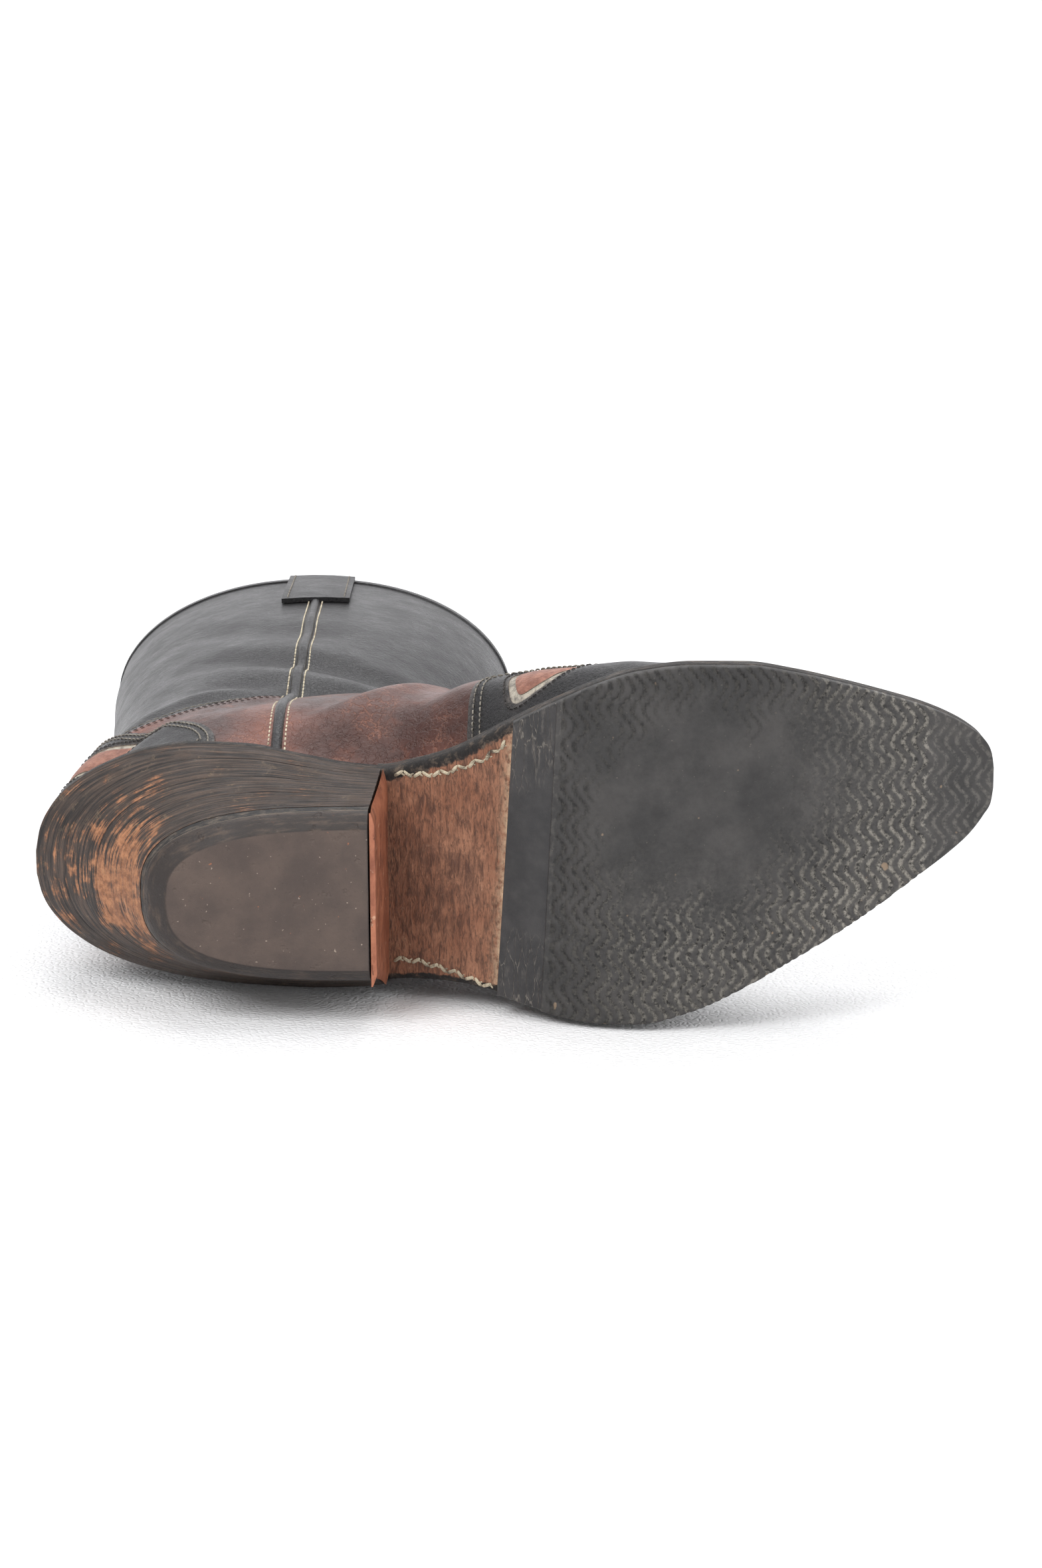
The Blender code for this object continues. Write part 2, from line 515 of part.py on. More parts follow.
def make_outsole(collection):
    """Leather sole from toe to seat."""
    xs = np.array(sorted({row[0] for row in OUTLINE} | {row[0] for row in PROFILE}))
    xs = np.sort(np.concatenate([xs, 0.5 * (xs[1:] + xs[:-1])]))
    piece = plate("outsole", xs, sole_edge, underside, lambda x: underside(x) + OUTSOLE, collection)
    paint(piece, LEATHER_TAN, 0.6)


def half_sole_rear(side):
    """Place of the half sole's rear edge, which runs slightly askew."""
    return HALF_SOLE_REAR - side * HALF_SOLE_SKEW


def make_half_sole(collection):
    """Rubber half sole: tread with a plain strip along its rear edge."""
    shares = np.linspace(0, 1, HALF_SOLE_ROWS) ** 0.85
    across = np.linspace(0, 1, ACROSS)
    bottom, top = [], []
    strip = STRIP_WIDTH / (LENGTH - half_sole_rear(0))
    shares = np.unique(np.concatenate([[0, strip, strip * 1.08], strip + (1 - strip) * shares[1:]]))
    for share in shares:
        for a in across:
            x = half_sole_rear(2 * a - 1) * (1 - share) + LENGTH * share
            y = sole_edge(-1, x) * (1 - a) + sole_edge(1, x) * a
            z = float(underside(x)) - GAP
            thick = HALF_SOLE - GAP - (STRIP_STEP if share <= strip else 0)
            bottom.append((x, y, z - thick))
            top.append((x, y, z))
    faces = grid_faces(len(shares), ACROSS)
    paint(thicken("half_sole", faces, bottom, top, collection), RUBBER_GREY, 0.75)


def make_welt(collection):
    """Strip on the outsole around the upper, from the breast round the toe and back."""
    outer, inner = outline_loop(), inset_loop(-WELT_ROOM)
    keep = (outer[:, 0] > HEEL_BREAST) & (inner[:, 0] > HEEL_BREAST)
    outer, inner = outer[keep][::WELT_STEP], inner[keep][::WELT_STEP]
    rows = []
    for a, b in zip(outer, inner):
        for x, y in (a, b):
            rows.append((x, y, float(sole_top(x))))
    bottom = np.array(rows)
    top = bottom + np.array([0, 0, WELT])
    paint(thicken("welt", grid_faces(len(outer), 2), bottom, top, collection), BLACK_LEATHER, 0.5)


def lift_outline(length, width):
    """D-shaped outline of the top lift, from its outer breast corner round the rear."""
    turn = np.linspace(0, math.pi, HEEL_POINTS)
    x = HEEL_BREAST - length * np.abs(np.sin(turn)) ** (2 / LIFT_SQUARE)
    y = 0.5 * width * np.sign(np.cos(turn)) * np.abs(np.cos(turn)) ** (2 / LIFT_SQUARE)
    return np.column_stack([x, y])


def seat_outline():
    """The sole's outline round the heel seat, matched to the lift's points."""
    turn = np.linspace(0, math.pi, HEEL_POINTS)
    x = HEEL_BREAST * (1 - np.abs(np.sin(turn)) ** (2 / 2.2))
    y = np.where(turn <= math.pi / 2, sole_edge(1, x), sole_edge(-1, x))
    y[HEEL_POINTS // 2] = 0.5 * (sole_edge(1, 0) + sole_edge(-1, 0))
    return np.column_stack([x, y])


def heel_ring(z, share):
    """Outline of the heel at a share of the way from the lift's rim to the seat."""
    rim = lift_outline(LIFT_LENGTH + LIFT_REAR_BEVEL, LIFT_WIDTH + 2 * LIFT_BEVEL)
    seat = seat_outline()
    rear = float(smooth(HEEL_FLARE, 1, share))
    side = float(smooth(HEEL_FLARE, 2, share))
    x = rim[:, 0] + (seat[:, 0] - rim[:, 0]) * rear
    y = rim[:, 1] + (seat[:, 1] - rim[:, 1]) * side
    x += BREAST_SLOPE * share * (x / HEEL_BREAST).clip(0, 1) ** 4
    return np.column_stack([x, y, np.full(len(x), z)])


def stack(name, rings, collection):
    """A solid lofted through D-shaped rings, with a flat breast, a flat bottom and its own top."""
    columns = HEEL_POINTS
    points = np.vstack(rings)
    faces = grid_faces(len(rings), columns, closed=True)
    half = columns // 2
    for level, flip in ((0, False), (len(rings) - 1, True)):
        for i in range(half):
            a, b = level * columns + i, level * columns + i + 1
            c, d = level * columns + columns - 2 - i, level * columns + columns - 1 - i
            quad = (a, b, c, d) if b != c else (a, b, d)
            faces.append(tuple(reversed(quad)) if flip else quad)
    return solid(name, [tuple(p) for p in points], faces, collection)


def make_heel(collection):
    """Top lift with its bevelled rim, the thin layer above it, and the underslung stack."""
    rings = []
    for share in (0.0, 0.25, 0.5, 0.75, 1.0):
        grow = math.sin(0.5 * math.pi * share)
        flat = lift_outline(LIFT_LENGTH + LIFT_REAR_BEVEL * grow, LIFT_WIDTH + 2 * LIFT_BEVEL * grow)
        rings.append(np.column_stack([flat, np.full(len(flat), LIFT_HEIGHT * share)]))
    paint(stack("top_lift", rings, collection), RUBBER_BROWN, 0.7)
    base = LIFT_HEIGHT + GAP
    top = base + LIFT_BASE
    rings = [heel_ring(base, 0), heel_ring(top, STACK_START)]
    paint(stack("lift_base", rings, collection), LEATHER_BROWN, 0.6)
    rings = []
    for share in np.linspace(STACK_START, 1, STACK_RINGS):
        ring = heel_ring(0, share)
        level = (share - STACK_START) / (1 - STACK_START)
        ring[:, 2] = (top + GAP) * (1 - level) + (underside(ring[:, 0]) - GAP) * level
        rings.append(ring)
    paint(stack("heel_stack", rings, collection), BLACK_LEATHER, 0.55)


def make_breast_flap(collection):
    """Sole leather turned down over the heel's breast."""
    levels = np.linspace(0, 1, BREAST_ROWS)
    front, back = [], []
    for share in levels:
        ring = heel_ring(0, STACK_START + (1 - STACK_START) * share)
        low, high = LIFT_HEIGHT + LIFT_BASE + 2 * GAP, float(underside(HEEL_BREAST + BREAST_SLOPE)) - GAP
        for a in (0.0, 0.5, 1.0):
            x = ring[0, 0] * (1 - a) + ring[-1, 0] * a
            y = ring[0, 1] * (1 - a) + ring[-1, 1] * a
            z = low + (high - FLAP_DROP - low) * share
            back.append((x + GAP, y, z))
            front.append((x + GAP + BREAST_FLAP, y, z))
    paint(thicken("breast_flap", grid_faces(BREAST_ROWS, 3), front, back, collection), LEATHER_TAN, 0.6)


def section_list():
    """Section numbers of the rings, denser at the toe and the heel."""
    return [i / 2 for i in range(int(2 * TOP) + 1)]


def make_upper(collection):
    """Vamp, counter part and shaft: one hollow wall, open at the collar and underneath."""
    numbers = section_list()
    front = np.vstack([Section(k).loop(SIDE_POINTS) for k in numbers])
    drawn_back = [k + INNER_TOE * max(0, 1 - k / HOLE_FIRST) for k in numbers]
    back = np.vstack([Section(k).loop(SIDE_POINTS, -WALL) for k in drawn_back])
    columns = 2 * SIDE_POINTS - 1
    in_hole = lambda r, c: c == columns - 1 and HOLE_FIRST <= numbers[r] < HOLE_LAST
    faces = grid_faces(len(numbers), columns, closed=True, skip=in_hole)
    faces.append(tuple(reversed(range(columns))))
    paint(thicken("upper", faces, front, back, collection), LEATHER_BROWN, 0.45)


def make_insole(collection):
    """Board inside the upper, on the turned-in margin."""
    eased = 0.5 * (1 - np.cos(np.linspace(0, math.pi, INSOLE_ROWS)))
    xs = INSOLE_REAR + (INSOLE_FRONT - INSOLE_REAR) * eased
    room = WALL + INSOLE_ROOM
    edges = lambda side, x: float(inset_edge(side, x, room))
    base = lambda x: sole_top(x) + WALL + INSOLE_SEAT
    piece = plate("insole", xs, edges, base, lambda x: base(x) + INSOLE, collection)
    paint(piece, LEATHER_TAN, 0.7)


def upper_grid(numbers, offset=0.0):
    """Points and faces of the upper's outer surface between two sections, moved out by an offset."""
    points = np.vstack([Section(k).loop(SIDE_POINTS) for k in numbers])
    faces = grid_faces(len(numbers), 2 * SIDE_POINTS - 1, closed=True)
    mesh = bpy.data.meshes.new("offset_guide")
    mesh.from_pydata([tuple(p) for p in points], [], faces)
    normals = np.array([tuple(v.vector) for v in mesh.vertex_normals])
    rings = points.reshape(len(numbers), -1, 3)
    outward = (rings - rings.mean(axis=1)[:, None]).reshape(-1, 3)
    if np.sum(normals * outward) < 0:
        normals = -normals
    bpy.data.meshes.remove(mesh)
    return points + offset * normals, faces


def prism(name, outline, collection):
    """Cutter: an outline seen from the side, right across the boot."""
    count = len(outline)
    half = BALL_WIDTH
    points = [(x, side * half, z) for side in (-1, 1) for x, z in outline]
    faces = [(i, (i + 1) % count, (i + 1) % count + count, i + count) for i in range(count)]
    faces += [tuple(range(count)), tuple(range(count, 2 * count))[::-1]]
    cutter = solid(name, points, faces, collection)
    cutter.hide_render = True
    cutter.display_type = "WIRE"
    return cutter


def overlay(name, numbers, outline, collection, cutters):
    """Leather on the upper: a shell between two offsets of it, kept where the outline covers it."""
    front, faces = upper_grid(numbers, GAP + OVERLAY)
    back, faces = upper_grid(numbers, GAP)
    piece = thicken(name, faces, front, back, collection)
    cut = piece.modifiers.new("outline", "BOOLEAN")
    cut.operation = "INTERSECT"
    cut.solver = "EXACT"
    cut.object = prism(name + "_outline", outline, cutters)
    paint(piece, BLACK_LEATHER, 0.4)


def above_sole(first, last):
    """Lower edge of an overlay: points just above the sole, between two places."""
    return [(x, float(sole_top(x)) + OVERLAY_FOOT) for x in np.linspace(first, last, EDGE_POINTS)]


def make_overlays(collection, cutters):
    """Wingtip on the toe and counter round the heel."""
    lower = above_sole(WINGTIP_EDGE[0][0], LENGTH)
    upper_edge = [(x, float(sole_top(x)) + rise) for x, rise in WINGTIP_EDGE[1:]]
    front = [(LENGTH, 2 * INSTEP_HEIGHT)]
    numbers = [k / 2 for k in range(int(2 * WINGTIP_LAST) + 1)]
    overlay("wingtip", numbers, lower + front + upper_edge[::-1], collection, cutters)
    lower = above_sole(COUNTER_EDGE[0][0], -HEEL_OVERHANG)
    upper_edge = [(x, SEAT_TOP + rise) for x, rise in COUNTER_EDGE[1:]]
    numbers = [k / 2 for k in range(int(2 * COUNTER_FIRST), int(2 * COUNTER_LAST) + 1)]
    overlay("counter_overlay", numbers, lower + upper_edge[::-1], collection, cutters)


def seam_arc(section, side, x):
    """Length along a half loop at which it passes a place along the boot."""
    along = (x - section.low[0]) / section.along[0]
    return float(np.interp(along, section.flat[side][:, 1], section.arc[side]))


def make_piping(side, name, collection):
    """Half-round piping up the side seam, from the seat to the pull strap."""
    across = np.linspace(-0.5, 0.5, 5)
    front, back = [], []
    for k in np.linspace(PIPING_FIRST, PIPING_LAST, PIPING_ROWS):
        section = Section(k)
        for share in across:
            arc = seam_arc(section, side, SEAM_X) + share * PIPING_WIDTH
            height = PIPING_HEIGHT * math.sqrt(1.05 - 4 * share * share)
            front.append(section.at(side, [arc], GAP + height)[0])
            back.append(section.at(side, [arc], GAP)[0])
    faces = grid_faces(PIPING_ROWS, len(across))
    paint(thicken(name, faces, np.array(front), np.array(back), collection), BLACK_LEATHER, 0.4)


def make_strap(side, name, collection):
    """Pull strap sewn to the outside and the inside of the collar, in a loop over its edge."""
    xs = SEAM_X + STRAP_WIDTH * (np.linspace(0, 1, STRAP_COLUMNS) - 0.5)
    numbers = np.linspace(STRAP_FIRST, TOP, STRAP_ROWS)
    front, back = [], []

    def add_row(k, near, far):
        section = Section(k)
        for x in xs:
            arc = seam_arc(section, side, x)
            front.append(section.at(side, [arc], far)[0])
            back.append(section.at(side, [arc], near)[0])

    for k in numbers:
        add_row(k, GAP, GAP + STRAP_THICK)
    top = Section(TOP)
    for step in range(1, STRAP_TURN + 1):
        turn = math.pi * step / (STRAP_TURN + 1)
        for x in xs:
            arc = seam_arc(top, side, x)
            for points, thick in ((front, STRAP_THICK), (back, 0)):
                room = GAP if turn < math.pi / 2 else STRAP_ROOM
                reach = (0.5 * WALL + room + thick) * math.cos(turn) - 0.5 * WALL
                point = top.at(side, [arc], reach)[0]
                point[2] += (STRAP_RISE - STRAP_THICK + thick) * math.sin(turn)
                points.append(point)
    for k in numbers[::-1]:
        add_row(k, -WALL - STRAP_ROOM, -WALL - STRAP_ROOM - STRAP_THICK)
    faces = grid_faces(2 * STRAP_ROWS + STRAP_TURN, STRAP_COLUMNS)
    paint(thicken(name, faces, np.array(front), np.array(back), collection), BLACK_LEATHER, 0.4)


def finished_meshes(pieces):
    """Each piece's mesh as its modifiers leave it."""
    graph = bpy.context.evaluated_depsgraph_get()
    return [bpy.data.meshes.new_from_object(piece.evaluated_get(graph)) for piece in pieces]


def mass_centre(meshes):
    """Centre of the pieces' volume."""
    total, moment = 0.0, Vector((0, 0, 0))
    for mesh in meshes:
        mesh.calc_loop_triangles()
        for triangle in mesh.loop_triangles:
            a, b, c = (mesh.vertices[i].co for i in triangle.vertices)
            volume = a.dot(b.cross(c)) / 6
            total += volume
            moment += volume * (a + b + c) / 4
    return moment / total


def resting_normal(meshes):
    """Outward normal of the hull face that the boot lies on, on its outer side."""
    centre = mass_centre(meshes)
    hull = bmesh.new()
    for mesh in meshes:
        for vertex in mesh.vertices:
            hull.verts.new(vertex.co)
    bmesh.ops.convex_hull(hull, input=hull.verts)
    best, normal = None, Vector((0, 1, 0))
    for face in hull.faces:
        side = face.normal if face.normal.dot(face.calc_center_median() - centre) > 0 else -face.normal
        if side.y < 0.8:
            continue
        depth = side.dot(face.verts[0].co - centre)
        if depth > 0 and (best is None or depth < best):
            best, normal = depth, side.copy()
    hull.free()
    return normal


def lay_down(pieces, cutters, collection):
    """Parent the pieces to an empty that lays them on the ground, centred over the origin."""
    meshes = finished_meshes(pieces)
    down = resting_normal(meshes)
    up = -down
    forward = (Vector((1, 0, 0)) - down * down.x).normalized()
    turn = Matrix((forward, up.cross(forward), up)).to_4x4()
    points = [turn @ vertex.co for mesh in meshes for vertex in mesh.vertices]
    low = [min(p[i] for p in points) for i in range(3)]
    high = [max(p[i] for p in points) for i in range(3)]
    shift = Matrix.Translation((-0.5 * (low[0] + high[0]), -0.5 * (low[1] + high[1]), -low[2]))
    frame = bpy.data.objects.new("boot_frame", None)
    collection.objects.link(frame)
    frame.matrix_world = shift @ turn
    for piece in pieces + cutters:
        piece.parent = frame


def main():
    """Build every piece of the boot and lay it on its outer side."""
    for thing in list(bpy.data.objects):
        bpy.data.objects.remove(thing, do_unlink=True)
    boot = bpy.data.collections.new("cowboy_boot")
    cutters = bpy.data.collections.new("cutters")
    bpy.context.scene.collection.children.link(boot)
    bpy.context.scene.collection.children.link(cutters)
    make_outsole(boot)
    make_half_sole(boot)
    make_welt(boot)
    make_heel(boot)
    make_breast_flap(boot)
    make_upper(boot)
    make_insole(boot)
    make_overlays(boot, cutters)
    for side, name in ((1, "lateral"), (-1, "medial")):
        make_piping(side, "side_piping_" + name, boot)
        make_strap(side, "pull_strap_" + name, boot)
    lay_down(list(boot.objects), list(cutters.objects), boot)
    bpy.context.view_layer.update()


main()
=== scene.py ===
"""Looks of the left cowboy boot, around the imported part. Shapes are worked out standing, in the boot's own
frame (X to the toe, Y to the outer side, Z up), and laid down with the part by its two flat mounts."""
import json
import math
import random

import bmesh
import bpy
import numpy as np
from mathutils import Matrix, Vector


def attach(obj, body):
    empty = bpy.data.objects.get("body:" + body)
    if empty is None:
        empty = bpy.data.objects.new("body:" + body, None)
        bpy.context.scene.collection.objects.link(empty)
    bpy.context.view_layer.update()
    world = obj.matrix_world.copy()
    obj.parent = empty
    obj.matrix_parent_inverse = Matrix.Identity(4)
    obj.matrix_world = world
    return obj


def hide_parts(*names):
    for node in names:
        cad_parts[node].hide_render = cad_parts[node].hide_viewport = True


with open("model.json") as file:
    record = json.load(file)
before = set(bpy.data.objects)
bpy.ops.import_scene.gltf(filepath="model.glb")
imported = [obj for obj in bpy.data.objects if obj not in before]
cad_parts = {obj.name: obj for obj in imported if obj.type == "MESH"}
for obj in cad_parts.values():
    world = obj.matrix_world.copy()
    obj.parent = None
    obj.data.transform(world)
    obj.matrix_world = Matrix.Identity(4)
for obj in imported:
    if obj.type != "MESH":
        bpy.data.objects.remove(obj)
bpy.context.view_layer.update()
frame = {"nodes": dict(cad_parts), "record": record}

# Driving sizes
LENGTH = 0.294
BALL_WIDTH = 0.110
WAIST_WIDTH = 0.069
SEAT_WIDTH = 0.077
TOE_WIDTH = 0.028
HEEL_RISE = 0.0425
TOE_SPRING = 0.017
TOE_BOX = 0.026
BALL_HEIGHT = 0.045
INSTEP_HEIGHT = 0.112
COLLAR_HEIGHT = 0.322
SHAFT_DEPTH = 0.152
SHAFT_WIDTH = 0.084
ANKLE_DEPTH = 0.122
SCALLOP = 0.030
WALL = 0.0024
LASTING_MARGIN = 0.012

# Sole and heel sizes
HALF_SOLE = 0.004
STRIP_STEP = 0.0008
STRIP_WIDTH = 0.013
OUTSOLE = 0.0045
WELT = 0.003
WELT_WIDTH = 0.0048
SEAT_RIM = 0.003
INSOLE = 0.003
LIFT_LENGTH = 0.060
LIFT_WIDTH = 0.0435
LIFT_HEIGHT = 0.0062
LIFT_BEVEL = 0.0045
LIFT_REAR_BEVEL = 0.007
LIFT_BASE = 0.003
HEEL_BREAST = 0.105
BREAST_SLOPE = 0.003
BREAST_FLAP = 0.0016
LIFT_SQUARE = 2.8

# Overlay, piping and strap sizes
OVERLAY = 0.0013
PIPING_WIDTH = 0.0036
PIPING_HEIGHT = 0.0013
STRAP_WIDTH = 0.026
STRAP_LENGTH = 0.055
STRAP_THICK = 0.0018
STRAP_RISE = 0.007
STRAP_ROOM = 0.0010

# Clearance between neighbours
GAP = 0.0003

# Places of the seams and ends
HALF_SOLE_REAR = 0.496 * LENGTH
HALF_SOLE_SKEW = 0.0027
SEAM_X = 0.255 * LENGTH
FEATHER = 0.0012
FEATHER_RADIUS = 0.0025
OVAL = 2.15
FLAT_SHARE = 0.25
BEND_SHARE = 0.5
OVERLAY_FOOT = 0.0045
INSOLE_REAR = 0.070 * LENGTH
INSOLE_FRONT = 0.900 * LENGTH
INSOLE_ROOM = 0.0024
INSOLE_SEAT = 0.0008
WELT_ROOM = 0.0006
FLAP_DROP = 0.0006

# Counts
DENSE = 81
OUTLINE_POINTS = 200
HEEL_POINTS = 97

# Sole outline: place along the length, inner edge and outer edge
OUTLINE = [
    (0.000 * LENGTH, -0.055 * SEAT_WIDTH, 0.035 * SEAT_WIDTH),
    (0.005 * LENGTH, -0.150 * SEAT_WIDTH, 0.120 * SEAT_WIDTH),
    (0.017 * LENGTH, -0.240 * SEAT_WIDTH, 0.205 * SEAT_WIDTH),
    (0.041 * LENGTH, -0.335 * SEAT_WIDTH, 0.297 * SEAT_WIDTH),
    (0.075 * LENGTH, -0.412 * SEAT_WIDTH, 0.376 * SEAT_WIDTH),
    (0.119 * LENGTH, -0.474 * SEAT_WIDTH, 0.436 * SEAT_WIDTH),
    (0.170 * LENGTH, -0.502 * SEAT_WIDTH, 0.476 * SEAT_WIDTH),
    (0.224 * LENGTH, -0.496 * SEAT_WIDTH, 0.496 * SEAT_WIDTH),
    (0.286 * LENGTH, -0.455 * SEAT_WIDTH, 0.504 * SEAT_WIDTH),
    (0.340 * LENGTH, -0.472 * WAIST_WIDTH, 0.548 * WAIST_WIDTH),
    (0.367 * LENGTH, -0.467 * WAIST_WIDTH, 0.522 * WAIST_WIDTH),
    (0.401 * LENGTH, -0.505 * WAIST_WIDTH, 0.497 * WAIST_WIDTH),
    (0.442 * LENGTH, -0.572 * WAIST_WIDTH, 0.489 * WAIST_WIDTH),
    (0.483 * LENGTH, -0.678 * WAIST_WIDTH, 0.504 * WAIST_WIDTH),
    (0.517 * LENGTH, -0.482 * BALL_WIDTH, 0.333 * BALL_WIDTH),
    (0.551 * LENGTH, -0.532 * BALL_WIDTH, 0.354 * BALL_WIDTH),
    (0.592 * LENGTH, -0.587 * BALL_WIDTH, 0.363 * BALL_WIDTH),
    (0.633 * LENGTH, -0.622 * BALL_WIDTH, 0.360 * BALL_WIDTH),
    (0.687 * LENGTH, -0.637 * BALL_WIDTH, 0.324 * BALL_WIDTH),
    (0.741 * LENGTH, -0.635 * BALL_WIDTH, 0.257 * BALL_WIDTH),
    (0.789 * LENGTH, -0.613 * BALL_WIDTH, 0.186 * BALL_WIDTH),
    (0.837 * LENGTH, -0.580 * BALL_WIDTH, 0.114 * BALL_WIDTH),
    (0.884 * LENGTH, -0.542 * BALL_WIDTH, 0.036 * BALL_WIDTH),
    (0.925 * LENGTH, -0.504 * BALL_WIDTH, -0.038 * BALL_WIDTH),
    (0.955 * LENGTH, -0.312 * BALL_WIDTH - 0.61 * TOE_WIDTH, -0.312 * BALL_WIDTH + 0.86 * TOE_WIDTH),
    (0.976 * LENGTH, -0.303 * BALL_WIDTH - 0.51 * TOE_WIDTH, -0.303 * BALL_WIDTH + 0.64 * TOE_WIDTH),
    (0.991 * LENGTH, -0.297 * BALL_WIDTH - 0.39 * TOE_WIDTH, -0.297 * BALL_WIDTH + 0.42 * TOE_WIDTH),
    (0.998 * LENGTH, -0.293 * BALL_WIDTH - 0.26 * TOE_WIDTH, -0.293 * BALL_WIDTH + 0.28 * TOE_WIDTH),
    (1.000 * LENGTH, -0.292 * BALL_WIDTH - 0.13 * TOE_WIDTH, -0.292 * BALL_WIDTH + 0.13 * TOE_WIDTH),
]

# Underside of the leather outsole: place along the length, height over the tread's plane
PROFILE = [
    (0.000 * LENGTH, HALF_SOLE + 1.000 * HEEL_RISE),
    (0.120 * LENGTH, HALF_SOLE + 0.965 * HEEL_RISE),
    (0.250 * LENGTH, HALF_SOLE + 0.885 * HEEL_RISE),
    (0.357 * LENGTH, HALF_SOLE + 0.775 * HEEL_RISE),
    (0.420 * LENGTH, HALF_SOLE + 0.600 * HEEL_RISE),
    (0.480 * LENGTH, HALF_SOLE + 0.390 * HEEL_RISE),
    (0.540 * LENGTH, HALF_SOLE + 0.180 * HEEL_RISE),
    (0.590 * LENGTH, HALF_SOLE + 0.055 * HEEL_RISE),
    (0.640 * LENGTH, HALF_SOLE),
    (0.720 * LENGTH, HALF_SOLE),
    (0.780 * LENGTH, HALF_SOLE + 0.075 * TOE_SPRING),
    (0.860 * LENGTH, HALF_SOLE + 0.320 * TOE_SPRING),
    (0.930 * LENGTH, HALF_SOLE + 0.640 * TOE_SPRING),
    (1.000 * LENGTH, HALF_SOLE + 1.000 * TOE_SPRING),
]
SEAT_TOP = HALF_SOLE + HEEL_RISE + OUTSOLE + GAP
SHAFT_RISE = COLLAR_HEIGHT - SEAT_TOP
ABOVE_INSTEP = COLLAR_HEIGHT - INSTEP_HEIGHT - HALF_SOLE - OUTSOLE - 0.27 * HEEL_RISE
STACK_START = LIFT_BASE / (HALF_SOLE + HEEL_RISE - LIFT_HEIGHT)

